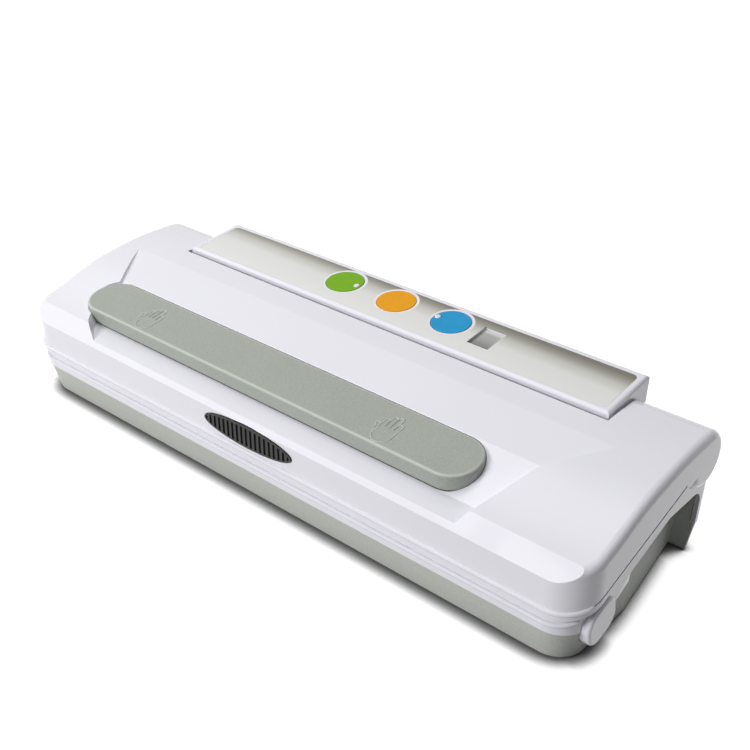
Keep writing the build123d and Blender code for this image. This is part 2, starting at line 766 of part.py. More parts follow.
with BuildPart() as case_screws:
    with BuildSketch(Plane.XY.offset(FOOT_STAND + POST_HEIGHT - WALL - SCREW_HEAD_THICK)):
        with Locations(*screw_spots):
            Circle(SCREW_HEAD_RADIUS)
    extrude(amount=SCREW_HEAD_THICK)
    with BuildSketch(Plane.XY.offset(FOOT_STAND + POST_HEIGHT - WALL)):
        with Locations(*screw_spots):
            Circle(SCREW_RADIUS)
    extrude(amount=SCREW_LENGTH)
    with BuildSketch(Plane.XY.offset(FOOT_STAND + POST_HEIGHT - WALL - SCREW_HEAD_THICK)):
        with Locations(*screw_spots):
            Rectangle(SCREW_HEAD_RADIUS, DRIVE_WIDTH)
            Rectangle(DRIVE_WIDTH, SCREW_HEAD_RADIUS)
    extrude(amount=DRIVE_DEEP, mode=Mode.SUBTRACT)
save(case_screws, "case_screws")

with BuildPart() as deck_cavity:
    extrude(base_plan(JOIN_Z - WALL, WALL), amount=UPSTAND_Z - JOIN_Z)
    extrude(above_seam(DECK_WALL, BLOCK_Y + WALL), amount=2 * REACH, mode=Mode.SUBTRACT)
    for side in SIDES.values():
        scoop_wall = BARREL_RADIUS + SCOOP_GAP + WALL
        wing = wing_clearance(DECK_WALL, scoop_wall, CONSOLE_LENGTH / 2 - WALL, side)
        extrude(wing, amount=side * REACH, mode=Mode.SUBTRACT)
    add(
        deck_box(SEAL_LENGTH + 2 * WALL, SEAL_WIDTH + 2 * WALL, SEAL_V, -SEAL_DEEP - WALL, DECK_WALL),
        mode=Mode.SUBTRACT,
    )

with BuildPart() as base_deck:
    extrude(base_plan(JOIN_Z, 0), amount=UPSTAND_Z - JOIN_Z)
    extrude(above_seam(0, BLOCK_Y), amount=2 * REACH, mode=Mode.SUBTRACT)
    for side in SIDES.values():
        wing = wing_clearance(0, BARREL_RADIUS + SCOOP_GAP, CONSOLE_LENGTH / 2, side)
        extrude(wing, amount=side * REACH, mode=Mode.SUBTRACT)
    add(deck_cavity.part, mode=Mode.SUBTRACT)
    for x, y in screw_spots:
        post_top = min(seam_z(y - POST_RADIUS), UPSTAND_Z) - WALL / 2
        with BuildSketch(Plane.XY.offset(FOOT_STAND + POST_HEIGHT)):
            with Locations((x, y)):
                Circle(POST_RADIUS)
        extrude(amount=post_top - FOOT_STAND - POST_HEIGHT)
    with BuildSketch(Plane.XY.offset(FOOT_STAND + POST_HEIGHT)):
        with Locations(*screw_spots):
            Circle(SCREW_RADIUS + SCREW_FIT)
    extrude(amount=SCREW_LENGTH - WALL + FIT, mode=Mode.SUBTRACT)
    add(
        deck_box(TROUGH_LENGTH, TROUGH_WIDTH, TROUGH_V, -2 * DECK_WALL, DECK_WALL, corner=TROUGH_ROUND),
        mode=Mode.SUBTRACT,
    )
    add(
        deck_box(SEAL_LENGTH + 2 * FIT, SEAL_WIDTH + 2 * FIT, SEAL_V, -SEAL_DEEP, DECK_WALL),
        mode=Mode.SUBTRACT,
    )
    add(gasket_ring(-GASKET_DEEP, DECK_WALL, 0), mode=Mode.SUBTRACT)
    for side in SIDES.values():
        slot_x = side * (HOOK_X + HOOK_BARB / 2)
        slot_length = HOOK_THICK + HOOK_BARB + 2 * HOOK_SLOT_GAP
        slot_width = HOOK_WIDTH + 2 * HOOK_SLOT_GAP
        add(
            deck_box(slot_length, slot_width, HOOK_V, -2 * DECK_WALL, DECK_WALL, x=slot_x),
            mode=Mode.SUBTRACT,
        )
        add(arch_room(side), mode=Mode.SUBTRACT)
        add(button_hole(side), mode=Mode.SUBTRACT)
    window_front = CONSOLE_WALL_Y + WALL
    window_rear = SCREW_REAR_Y - POST_RADIUS - WALL
    with BuildSketch(Plane.XY.offset(UPSTAND_Z)):
        with Locations((0, (window_front + window_rear) / 2)):
            Rectangle(CONSOLE_LENGTH - 2 * WIRE_WINDOW_MARGIN, window_rear - window_front)
    extrude(amount=-2 * WALL, mode=Mode.SUBTRACT)
save(base_deck, "base_deck")

with BuildPart() as trough_pan:
    add(
        deck_box(
            TROUGH_LENGTH + 2 * WALL,
            TROUGH_WIDTH + 2 * WALL,
            TROUGH_V,
            -TROUGH_DEEP - WALL,
            -DECK_WALL,
            corner=TROUGH_ROUND + WALL,
        )
    )
    add(
        deck_box(TROUGH_LENGTH, TROUGH_WIDTH, TROUGH_V, -TROUGH_DEEP, 0, corner=TROUGH_ROUND),
        mode=Mode.SUBTRACT,
    )
    with BuildSketch(deck_plane):
        with Locations((PUMP_X, HOSE_V)):
            Circle(HOSE_BORE)
    extrude(amount=-TROUGH_DEEP - 2 * WALL, mode=Mode.SUBTRACT)
save(trough_pan, "trough_pan")

with BuildPart() as cord_gland:
    with BuildSketch(Plane.XZ.offset(-REAR_Y)):
        with Locations((GLAND_X, GLAND_Z)):
            Circle(GLAND_RADIUS)
    extrude(amount=GLAND_LENGTH)
    with BuildSketch(Plane.XZ.offset(TRAY_STEP + TRAY_REAR_TAPER + WALL - REAR_Y)):
        with Locations((GLAND_X, GLAND_Z)):
            Circle(GLAND_RADIUS + GLAND_LIP)
    extrude(amount=GLAND_LIP)
    with BuildSketch(Plane.XZ.offset(-REAR_Y)):
        with Locations((GLAND_X, GLAND_Z)):
            Circle(GLAND_BORE)
    extrude(amount=GLAND_LENGTH, mode=Mode.SUBTRACT)
save(cord_gland, "cord_gland")

with BuildPart() as base_gasket:
    add(gasket_ring(-GASKET_DEEP, GASKET_PROUD, FIT))
save(base_gasket, "base_gasket")

with BuildPart() as seal_bar:
    add(deck_box(SEAL_LENGTH, SEAL_WIDTH, SEAL_V, -SEAL_DEEP, 0))
save(seal_bar, "seal_bar")

with BuildPart() as heating_strip:
    add(deck_box(SEAL_LENGTH, STRIP_WIDTH, SEAL_V, 0, STRIP_THICK))
save(heating_strip, "heating_strip")

with BuildPart() as release_sheet:
    add(deck_box(SEAL_LENGTH, SHEET_WIDTH, SEAL_V, STRIP_THICK, STRIP_THICK + SHEET_THICK))
save(release_sheet, "release_sheet")

# Console and controls

with BuildPart() as rear_console:
    with BuildSketch(Plane.YZ.offset(-CONSOLE_LENGTH / 2)):
        with BuildLine():
            Polyline(
                (CONSOLE_WALL_Y, UPSTAND_Z),
                (CONSOLE_WALL_Y, CONSOLE_LIP_Z + CONSOLE_LIP_Y - CONSOLE_WALL_Y),
                (CONSOLE_LIP_Y, CONSOLE_LIP_Z),
                (CONSOLE_LIP_Y, film_z(CONSOLE_LIP_Y)),
                (REAR_Y, film_z(REAR_Y)),
                (REAR_Y, UPSTAND_Z),
                close=True,
            )
        make_face()
    extrude(amount=CONSOLE_LENGTH)
    fillet(rear_console.faces().sort_by(Axis.Z)[-1].edges(), CONSOLE_ROUND)
    ceiling = CONSOLE_INNER_W / cos(radians(FILM_ANGLE))
    inner_front = CONSOLE_WALL_Y + WALL
    inner_rear = REAR_Y - WALL
    with BuildSketch(Plane.YZ.offset(WALL - CONSOLE_LENGTH / 2)):
        with BuildLine():
            Polyline(
                (inner_front, UPSTAND_Z - WALL),
                (inner_front, film_z(inner_front) + ceiling),
                (inner_rear, film_z(inner_rear) + ceiling),
                (inner_rear, UPSTAND_Z - WALL),
                close=True,
            )
        make_face()
    extrude(amount=CONSOLE_LENGTH - 2 * WALL, mode=Mode.SUBTRACT)
    with BuildSketch(film_plane):
        RectangleRounded(FILM_LENGTH + 2 * SCREW_FIT, FILM_DEPTH + 2 * SCREW_FIT, FILM_CORNER)
    extrude(amount=-FILM_THICK, mode=Mode.SUBTRACT)
    for x in key_x:
        add(film_disc(KEY_RADIUS + FIT, x, 2 * CONSOLE_INNER_W, 0), mode=Mode.SUBTRACT)
    add(
        film_block(WINDOW_WIDTH + FIT, WINDOW_DEPTH + FIT, WINDOW_X, WINDOW_V, 2 * CONSOLE_INNER_W, 0),
        mode=Mode.SUBTRACT,
    )
    with BuildSketch(film_plane.offset(CONSOLE_INNER_W)):
        with GridLocations(2 * BOARD_POST_X, BOARD_WIDTH - 4 * BOARD_POST_RADIUS, 2, 2):
            Circle(BOARD_POST_RADIUS)
    extrude(amount=BOARD_TOP_W - CONSOLE_INNER_W)
    for side in SIDES.values():
        boss_x = CONSOLE_LENGTH / 2 - PIN_LENGTH / 2
        add(hinge_rod(PIN_RADIUS + PIN_BOSS_WALL, side, boss_x, PIN_LENGTH / 2))
        bore = hinge_rod(PIN_RADIUS + PIN_RUNNING_FIT, side, boss_x, PIN_LENGTH)
        add(bore, mode=Mode.SUBTRACT)
save(rear_console, "rear_console")

for side_name, side in SIDES.items():
    with BuildPart() as hinge_pin:
        add(hinge_rod(PIN_RADIUS, side, CONSOLE_LENGTH / 2 - PIN_LENGTH / 2, PIN_LENGTH))
    save(hinge_pin, f"hinge_pin_{side_name}")

with BuildPart() as control_film:
    with BuildSketch(film_plane.offset(-FILM_THICK)):
        RectangleRounded(FILM_LENGTH, FILM_DEPTH, FILM_CORNER)
    extrude(amount=FILM_THICK)
    for x in key_x:
        add(film_disc(KEY_RADIUS + FIT, x, -WALL, WALL), mode=Mode.SUBTRACT)
    add(
        film_block(WINDOW_WIDTH + FIT, WINDOW_DEPTH + FIT, WINDOW_X, WINDOW_V, -WALL, WALL),
        mode=Mode.SUBTRACT,
    )
save(control_film, "control_film")

with BuildPart() as display_window:
    window_bottom = -WINDOW_SUNK - WINDOW_THICK
    add(film_block(WINDOW_WIDTH, WINDOW_DEPTH, WINDOW_X, WINDOW_V, window_bottom, -WINDOW_SUNK))
save(display_window, "display_window")

with BuildPart() as control_board:
    add(film_block(BOARD_LENGTH, BOARD_WIDTH, 0, 0, BOARD_TOP_W - BOARD_THICK, BOARD_TOP_W))
save(control_board, "control_board")

with BuildPart() as digit_display:
    add(
        film_block(
            WINDOW_WIDTH - FIT,
            WINDOW_DEPTH - FIT,
            WINDOW_X,
            WINDOW_V,
            BOARD_TOP_W,
            window_bottom - FIT,
        )
    )
save(digit_display, "digit_display")

with BuildPart() as key_switches:
    for x in key_x:
        body_top = (BOARD_TOP_W + 2 * SWITCH_TOP_W) / 3
        add(film_block(SWITCH_SIZE, SWITCH_SIZE, x, KEY_ROW_V, BOARD_TOP_W, body_top))
        add(film_disc(SWITCH_SIZE / 3, x, body_top, SWITCH_TOP_W))
save(key_switches, "key_switches")

light_x = {"vacuum_light": key_x[0] + LIGHT_OFFSET, "seal_light": key_x[2] - LIGHT_OFFSET}
for light_name, x in light_x.items():
    with BuildPart() as key_light:
        with BuildSketch(film_plane.offset(KEY_PROUD)):
            with Locations((x, KEY_ROW_V)):
                Circle(LIGHT_RADIUS)
        extrude(amount=LIGHT_PROUD)
        fillet(key_light.faces().sort_by(Axis.Z)[-1].edges(), LIGHT_ROUND)
    save(key_light, light_name)

for key_name, x in zip(("vacuum_key", "stop_key", "time_key"), key_x):
    with BuildPart() as key:
        add(film_disc(KEY_RADIUS, x, KEY_BOTTOM_W, KEY_PROUD))
        add(film_disc(KEY_RADIUS + KEY_FLANGE, x, KEY_BOTTOM_W, KEY_BOTTOM_W + KEY_FLANGE_THICK))
        add(film_disc(KEY_STEM_RADIUS, x, KEY_BOTTOM_W - KEY_STEM_LENGTH, KEY_BOTTOM_W))
    save(key, key_name)

# Lid

liner_screw_spots = [(x, v) for x in (-LINER_SCREW_X, LINER_SCREW_X) for v in LINER_SCREW_V]

with BuildPart() as lid_cavity:
    add(lid_form(WALL, -WALL))
    add(notch_room(NOTCH_RADIUS + WALL, WING_X + WALL), mode=Mode.SUBTRACT)
    add(ledge_room(WALL, WALL), mode=Mode.SUBTRACT)
    add(pad_slab(-WALL, REACH, WALL), mode=Mode.SUBTRACT)
    for side in SIDES.values():
        add(hinge_rod(PIN_RADIUS + PIN_BOSS_WALL, side, WING_X, PIN_LENGTH / 2), mode=Mode.SUBTRACT)
    with BuildSketch(deck_plane.offset(LINER_W + LINER_THICK)):
        with Locations(*liner_screw_spots):
            Circle(POST_RADIUS)
    extrude(amount=REACH, mode=Mode.SUBTRACT)

with BuildPart() as lid_shell:
    add(lid_form(0, SEAM_GAP))
    add(bead_groove(), mode=Mode.SUBTRACT)
    add(ledge_room(0, 0), mode=Mode.SUBTRACT)
    add(pad_slab(0, REACH, PAD_GAP), mode=Mode.SUBTRACT)
    add(notch_room(NOTCH_RADIUS, WING_X), mode=Mode.SUBTRACT)
    add(lid_cavity.part, mode=Mode.SUBTRACT)
    for side in SIDES.values():
        bore = hinge_rod(PIN_RADIUS + PIN_RUNNING_FIT, side, CONSOLE_LENGTH / 2, PIN_LENGTH / 2)
        add(bore, mode=Mode.SUBTRACT)
    with BuildSketch(deck_plane.offset(LINER_W + LINER_THICK)):
        with Locations(*liner_screw_spots):
            Circle(SCREW_RADIUS + SCREW_FIT)
    extrude(amount=SCREW_LENGTH, mode=Mode.SUBTRACT)
    extrude(grip_oval(PAD_GAP), amount=GRIP_PROUD - GRIP_THICK, mode=Mode.SUBTRACT)
save(lid_shell, "lid_shell")

with BuildPart() as press_pad:
    add(pad_slab(0, PAD_THICK, 0))
    fillet(press_pad.faces().sort_by(Axis.Z)[-1].edges(), PAD_ROUND)
save(press_pad, "press_pad")

with BuildPart() as front_grip:
    extrude(grip_oval(0), amount=GRIP_PROUD)
    extrude(grip_oval(0), amount=GRIP_PROUD - GRIP_THICK)
    with BuildSketch(grip_plane.offset(GRIP_PROUD)):
        with GridLocations(2 * GRIP_HALF_LENGTH / GRIP_RIBS, 0, GRIP_RIBS, 1):
            Rectangle(GRIP_GROOVE, 2 * GRIP_HALF_HEIGHT)
        Ellipse(GRIP_HALF_LENGTH - GRIP_RIM, GRIP_HALF_HEIGHT - GRIP_RIM, mode=Mode.INTERSECT)
    extrude(amount=-GRIP_GROOVE_DEEP, mode=Mode.SUBTRACT)
save(front_grip, "front_grip")

liner_front_v = 2 * WALL
liner_rear_v = LINER_REAR_V
liner_length = LENGTH - 2 * WALL - 2 * FIT
liner_width = liner_rear_v - liner_front_v
liner_v = (liner_rear_v + liner_front_v) / 2
with BuildPart() as lid_liner:
    add(deck_box(liner_length, liner_width, liner_v, LINER_W, LINER_W + LINER_THICK, corner=LID_CORNER))
    add(
        deck_box(
            TROUGH_LENGTH + 2 * LINER_THICK,
            TROUGH_WIDTH + 2 * LINER_THICK,
            TROUGH_V,
            LINER_W,
            LINER_W + CHAMBER_HIGH + LINER_THICK,
            corner=TROUGH_ROUND + LINER_THICK,
        )
    )
    add(
        deck_box(TROUGH_LENGTH, TROUGH_WIDTH, TROUGH_V, 0, LINER_W + CHAMBER_HIGH, corner=TROUGH_ROUND),
        mode=Mode.SUBTRACT,
    )
    with BuildSketch(deck_plane.offset(LINER_W)):
        with Locations(*liner_screw_spots):
            Circle(SCREW_RADIUS + SCREW_FIT)
    extrude(amount=LINER_THICK, mode=Mode.SUBTRACT)
save(lid_liner, "lid_liner")

with BuildPart() as liner_screws:
    with BuildSketch(deck_plane.offset(LINER_W)):
        with Locations(*liner_screw_spots):
            Circle(SCREW_HEAD_RADIUS)
    extrude(amount=-SCREW_HEAD_THICK / 2)
    with BuildSketch(deck_plane.offset(LINER_W)):
        with Locations(*liner_screw_spots):
            Circle(SCREW_RADIUS)
    extrude(amount=SCREW_LENGTH)
    with BuildSketch(deck_plane.offset(LINER_W - SCREW_HEAD_THICK / 2)):
        with Locations(*liner_screw_spots):
            Rectangle(SCREW_HEAD_RADIUS, DRIVE_WIDTH)
            Rectangle(DRIVE_WIDTH, SCREW_HEAD_RADIUS)
    extrude(amount=DRIVE_DEEP / 2, mode=Mode.SUBTRACT)
save(liner_screws, "liner_screws")

with BuildPart() as lid_gasket:
    add(gasket_ring(GASKET_PROUD + LID_GASKET_GAP, LINER_W, FIT))
save(lid_gasket, "lid_gasket")

with BuildPart() as pressure_strip:
    strip_bottom = STRIP_THICK + SHEET_THICK + PRESS_STRIP_GAP
    add(deck_box(SEAL_LENGTH, SEAL_WIDTH, SEAL_V, strip_bottom, LINER_W))
save(pressure_strip, "pressure_strip")

for side_name, side in SIDES.items():
    with BuildPart() as lid_hook:
        add(deck_box(HOOK_THICK, HOOK_WIDTH, HOOK_V, -HOOK_DROP, LINER_W, x=side * HOOK_X))
        barb_x = side * (HOOK_X + HOOK_THICK / 2 + HOOK_BARB / 2)
        add(deck_box(HOOK_BARB, HOOK_WIDTH, HOOK_V, -HOOK_DROP, HOOK_BARB - HOOK_DROP, x=barb_x))
    save(lid_hook, f"lid_hook_{side_name}")

# Release buttons and their springs

for side_name, side in SIDES.items():
    with BuildPart() as release_button:
        back_x = FLANGE_X - BUTTON_FLANGE_THICK
        face_x = BASE_LENGTH / 2 + BUTTON_PROUD
        extrude(button_outline(side, 0, back_x), amount=side * (face_x - back_x))
        outer = release_button.faces().sort_by(Axis.X)[-1 if side > 0 else 0]
        fillet(outer.edges(), BUTTON_CROWN)
        extrude(button_outline(side, BUTTON_FLANGE, back_x), amount=side * BUTTON_FLANGE_THICK)
        with BuildSketch(Plane.YZ.offset(side * back_x)):
            with Locations((BUTTON_Y, CATCH_Z - CATCH_THICK / 2)):
                Rectangle(HOOK_WIDTH, CATCH_THICK)
        extrude(amount=-side * CATCH_LENGTH)
    save(release_button, f"release_button_{side_name}")
    with BuildPart() as button_spring:
        with BuildSketch(Plane.YZ.offset(side * SPRING_POST_X)):
            with Locations((BUTTON_Y, SPRING_Z)):
                Circle(SPRING_RADIUS)
                Circle(SPRING_RADIUS - SPRING_WIRE, mode=Mode.SUBTRACT)
        extrude(amount=side * SPRING_LENGTH)
    save(button_spring, f"button_spring_{side_name}")

# Pump, hose and electrics inside the base

with BuildPart() as pump_head:
    with BuildSketch(Plane.XY.offset(FLOOR_Z)):
        with Locations((PUMP_X, PUMP_Y)):
            RectangleRounded(PUMP_SIZE, PUMP_SIZE, MOTOR_ROUND)
    extrude(amount=PUMP_SIZE)
    chamfer(pump_head.faces().sort_by(Axis.Z)[-1].edges(), MOTOR_ROUND / 2)
save(pump_head, "pump_head")

with BuildPart() as pump_motor:
    with BuildSketch(Plane.YZ.offset(PUMP_X - PUMP_SIZE / 2 - MOTOR_LENGTH)):
        with Locations((PUMP_Y, FLOOR_Z + PUMP_SIZE / 2)):
            Circle(MOTOR_RADIUS)
    extrude(amount=MOTOR_LENGTH)
    fillet(pump_motor.faces().sort_by(Axis.X)[0].edges(), MOTOR_ROUND)
save(pump_motor, "pump_motor")

hose_start = deck_plane.from_local_coords((PUMP_X, HOSE_V, -TROUGH_DEEP - WALL))
hose_corner = deck_plane.from_local_coords((PUMP_X, HOSE_V, -TROUGH_DEEP - WALL - HOSE_DROP))
hose_end = Vector(PUMP_X, PUMP_Y - PUMP_SIZE / 2, hose_corner.Z)
with BuildPart() as air_hose:
    with BuildLine() as hose_path:
        FilletPolyline(hose_start, hose_corner, hose_end, radius=HOSE_BEND)
    with BuildSketch(Plane(origin=hose_path.line @ 0, z_dir=hose_path.line % 0)):
        Circle(HOSE_RADIUS)
        Circle(HOSE_BORE, mode=Mode.SUBTRACT)
    sweep(path=hose_path.line)
save(air_hose, "air_hose")

with BuildPart() as transformer:
    with BuildSketch(Plane.XY.offset(FLOOR_Z)):
        with Locations((TRANSFORMER_X, TRANSFORMER_Y)):
            Rectangle(CORE_LENGTH, CORE_DEPTH)
    extrude(amount=CORE_HEIGHT)
    with BuildSketch(Plane.XY.offset(FLOOR_Z + (CORE_HEIGHT - COIL_HEIGHT) / 2)):
        with Locations((TRANSFORMER_X, TRANSFORMER_Y)):
            RectangleRounded(COIL_LENGTH, COIL_DEPTH, MOTOR_ROUND)
    extrude(amount=COIL_HEIGHT)
save(transformer, "transformer")

power_board_z = FLOOR_Z + POWER_BOARD_POST
with BuildPart() as power_board:
    with BuildSketch(Plane.XY.offset(power_board_z)):
        with Locations((POWER_BOARD_X, POWER_BOARD_Y)):
            Rectangle(POWER_BOARD_LENGTH, POWER_BOARD_WIDTH)
    extrude(amount=BOARD_THICK)
    with BuildSketch(Plane.XY.offset(power_board_z + BOARD_THICK)):
        with Locations((POWER_BOARD_X, POWER_BOARD_Y)):
            with GridLocations(2 * RELAY_SIZE, 0, 2, 1):
                Rectangle(RELAY_SIZE, RELAY_SIZE)
    extrude(amount=RELAY_SIZE)
save(power_board, "power_board")
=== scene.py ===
# %% [markdown]
# # A countertop vacuum sealer
#
# The machine is a long, low case with a lid that is hinged at the rear. Its hard pieces come from the
# CAD frame, already in place and in metres. This lesson gives them their finishes, adds the soft foam
# rings, the raised hand marks and the fine rims at the seam, and lights the whole as in a small product
# studio.

# %% Load the frame
import json
import math

import bpy
from mathutils import Matrix, Vector


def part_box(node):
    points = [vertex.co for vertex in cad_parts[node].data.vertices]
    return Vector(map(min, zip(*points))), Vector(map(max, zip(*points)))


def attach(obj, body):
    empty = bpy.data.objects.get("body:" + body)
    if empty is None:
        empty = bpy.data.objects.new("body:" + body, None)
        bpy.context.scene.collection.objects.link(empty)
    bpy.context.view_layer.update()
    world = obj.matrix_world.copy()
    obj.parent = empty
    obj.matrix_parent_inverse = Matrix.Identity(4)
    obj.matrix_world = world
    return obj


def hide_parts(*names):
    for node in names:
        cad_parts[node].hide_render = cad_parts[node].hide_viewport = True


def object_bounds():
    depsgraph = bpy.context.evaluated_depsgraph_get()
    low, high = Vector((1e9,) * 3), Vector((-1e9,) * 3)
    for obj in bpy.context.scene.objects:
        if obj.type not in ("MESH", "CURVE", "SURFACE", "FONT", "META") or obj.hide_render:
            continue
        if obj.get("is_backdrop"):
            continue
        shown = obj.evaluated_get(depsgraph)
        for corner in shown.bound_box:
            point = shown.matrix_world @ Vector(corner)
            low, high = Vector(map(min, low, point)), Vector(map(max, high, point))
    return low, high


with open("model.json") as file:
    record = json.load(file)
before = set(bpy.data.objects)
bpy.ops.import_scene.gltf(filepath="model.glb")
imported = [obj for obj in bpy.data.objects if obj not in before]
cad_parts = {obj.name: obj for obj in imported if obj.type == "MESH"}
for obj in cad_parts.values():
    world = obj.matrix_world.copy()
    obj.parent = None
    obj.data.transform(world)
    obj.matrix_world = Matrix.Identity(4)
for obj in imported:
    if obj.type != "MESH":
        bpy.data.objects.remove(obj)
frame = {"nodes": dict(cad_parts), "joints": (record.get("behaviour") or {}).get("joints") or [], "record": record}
nodes = frame["nodes"]
record = frame["record"]
cad_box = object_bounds()
MM = 0.001
print("frame:", len(nodes), "nodes,", [round((high - low) / MM) for low, high in zip(*cad_box)], "mm")

# %% [markdown]
# ## Camera
#
# The photograph was taken from the right front, a little above the machine and quite near, so the right
# end looks larger than the left. A camera could be aimed with a tracking constraint, but its place, its
# three angles and its lens are known here, so its matrix is written straight from them: two angles for
# the way it looks, one for its roll.

# %% Camera
CAMERA_EYE = Vector((0.3449, -0.3993, 0.3372))
CAMERA_AZIMUTH = math.radians(38.72)
CAMERA_ELEVATION = math.radians(28.18)
CAMERA_ROLL = math.radians(2.78)
CAMERA_LENS = 52.637
CAMERA_NEAR = 0.01

ahead = Vector((-math.sin(CAMERA_AZIMUTH), math.cos(CAMERA_AZIMUTH), 0)) * math.cos(CAMERA_ELEVATION)
ahead.z = -math.sin(CAMERA_ELEVATION)
level_right = Vector((math.cos(CAMERA_AZIMUTH), math.sin(CAMERA_AZIMUTH), 0))
level_up = level_right.cross(ahead)
right = level_right * math.cos(CAMERA_ROLL) + level_up * math.sin(CAMERA_ROLL)
turn = Matrix((right, right.cross(ahead), -ahead)).transposed()

camera = bpy.data.objects.new("camera", bpy.data.cameras.new("camera"))
camera.data.lens = CAMERA_LENS
camera.data.clip_start = CAMERA_NEAR
camera.matrix_world = Matrix.Translation(CAMERA_EYE) @ turn.to_4x4()
bpy.context.scene.collection.objects.link(camera)
bpy.context.scene.camera = camera
print("camera:", [round(c, 3) for c in CAMERA_EYE], "lens", CAMERA_LENS, "mm")

# %% [markdown]
# ## Shader expressions
#
# A finish is a formula: a base tone, a little more here, a little less there. Nodes could be linked one
# by one, but a formula is easier to read. `Value` wraps a socket and lets Python's operators add the
# Math nodes, `Formula` adds any other node to a tree by one method, and `Finish` is a formula that owns
# a material and feeds its shader.

# %% Shader expressions
BLACK = (0, 0, 0, 1)
WHITE = (1, 1, 1, 1)
NOISE_MEAN = 0.5


class Value:
    """A number, colour or vector that changes over a surface, held as the socket that gives it."""

    def __init__(self, formula, socket):
        self.formula = formula
        self.socket = socket

    def combine(self, operation, first, second=0.0):
        return self.formula.node("ShaderNodeMath", {"operation": operation}, {0: first, 1: second})

    def __add__(self, other):
        return self.combine("ADD", self, other)

    def __sub__(self, other):
        return self.combine("SUBTRACT", self, other)

    def __rsub__(self, other):
        return self.combine("SUBTRACT", other, self)

    def __mul__(self, other):
        return self.combine("MULTIPLY", self, other)

    def __truediv__(self, other):
        return self.combine("DIVIDE", self, other)

    def __pow__(self, other):
        return self.combine("POWER", self, other)

    def __abs__(self):
        return self.combine("ABSOLUTE", self)

    def larger(self, other):
        return self.combine("MAXIMUM", self, other)

    def sine(self):
        return self.combine("SINE", self)

    __radd__ = __add__
    __rmul__ = __mul__


class Formula:
    """A shader tree that grows by one node after the other."""

    def __init__(self, tree):
        self.tree = tree

    def feed(self, socket, value):
        if isinstance(value, Value):
            self.tree.links.new(value.socket, socket)
        else:
            socket.default_value = value

    def node(self, kind, settings=None, sockets=None, output=0):
        made = self.tree.nodes.new(kind)
        for name, value in (settings or {}).items():
            if name == "stops":
                set_stops(made.color_ramp, value)
            else:
                setattr(made, name, value)
        for name, value in (sockets or {}).items():
            self.feed(made.inputs[name], value)
        return Value(self, made.outputs[output])

    def place(self, centre=(0, 0, 0), angles=(0, 0, 0)):
        """Millimetres from a centre, along axes turned by the angles."""
        spot = self.node("ShaderNodeTexCoord", output="Object")
        sockets = {"Vector": spot, "Location": centre, "Rotation": angles, "Scale": (MM, MM, MM)}
        return self.node("ShaderNodeMapping", {"vector_type": "TEXTURE"}, sockets)

    def axes(self, place):
        """The three coordinates of a place, one by one."""
        return [self.node("ShaderNodeSeparateXYZ", None, {0: place}, output) for output in range(3)]

    def cloud(self, place, size, detail=2.0, rough=0.5):
        """Soft noise about its mean, with blotches of the given size in millimetres."""
        sockets = {"Vector": place, "Scale": 1 / size, "Detail": detail, "Roughness": rough}
        return self.node("ShaderNodeTexNoise", None, sockets)

    def mix(self, share, first, second):
        """The first colour where the share is 0, the second where it is 1."""
        return self.node("ShaderNodeMix", {"data_type": "RGBA"}, {0: share, 6: first, 7: second}, 2)

    def ease(self, value, low, high):
        """0 below low, 1 above high and a smooth rise between them."""
        sockets = {"Value": value, "From Min": low, "From Max": high}
        return self.node("ShaderNodeMapRange", {"interpolation_type": "SMOOTHSTEP"}, sockets)


class Finish(Formula):
    """A formula that ends in the shader of one material."""

    def __init__(self, name):
        self.material = bpy.data.materials.new(name)
        self.material.use_nodes = True
        super().__init__(self.material.node_tree)
        self.shader = self.tree.nodes["Principled BSDF"]

    def paint(self, colour, roughness, height=None, **constants):
        """Feeds the shader: colour, roughness, a height in millimetres and plain constants by socket."""
        self.feed(self.shader.inputs["Base Color"], colour)
        self.feed(self.shader.inputs["Roughness"], roughness)
        if height:
            bump = self.node("ShaderNodeBump", None, {"Distance": MM, "Height": height})
            self.feed(self.shader.inputs["Normal"], bump)
        for name, value in constants.items():
            self.feed(self.shader.inputs[name.replace("_", " ")], value)
        return self.material


def set_stops(ramp, stops):
    """Colour stops of a ramp, each a position from 0 to 1 and a colour."""
    while len(ramp.elements) < len(stops):
        ramp.elements.new(1.0)
    for element, (position, colour) in zip(ramp.elements, stops):
        element.position = position
        element.color = colour


def tone(red, green, blue):
    """A colour as read from a screen, 0 to 255, made linear for the shader by the sRGB curve."""
    shares = [channel / 255 for channel in (red, green, blue)]
    linear = [s / 12.92 if s <= 0.04045 else ((s + 0.055) / 1.055) ** 2.4 for s in shares]
    return (*linear, 1.0)


print("shader kit:", [name for name in vars(Formula) if not name.startswith("_")])

# %% [markdown]
# ## Studio floor
#
# The machine stands on a white sweep. The floor could simply be white, but a white floor throws much
# light back and loses its shadow. This one is matt and grey, so it keeps a dark shadow, and to the
# camera it also glows white wherever it is open: a short-range occlusion says how open, so the shadow
# hugs the foot of the machine.

# %% Studio floor
FLOOR_HALF = 4.0
FLOOR_DROP = 0.2 * MM
FLOOR_TONE = tone(132, 132, 132)
FLOOR_ROUGHNESS = 0.85
FLOOR_UNEVEN = 0.1
FLOOR_BLOTCH = 40.0
SHADOW_REACH = 0.013
SHADOW_SHARES = (0.45, 0.86)
SHADOW_SAMPLES = 12


def seen(formula):
    """1 for rays that show a surface as it is: from the camera, in gloss and through clear pieces."""
    ways = ("Is Camera Ray", "Is Glossy Ray", "Is Transmission Ray")
    direct, mirrored, through = [formula.node("ShaderNodeLightPath", output=way) for way in ways]
    return direct.larger(mirrored).larger(through)


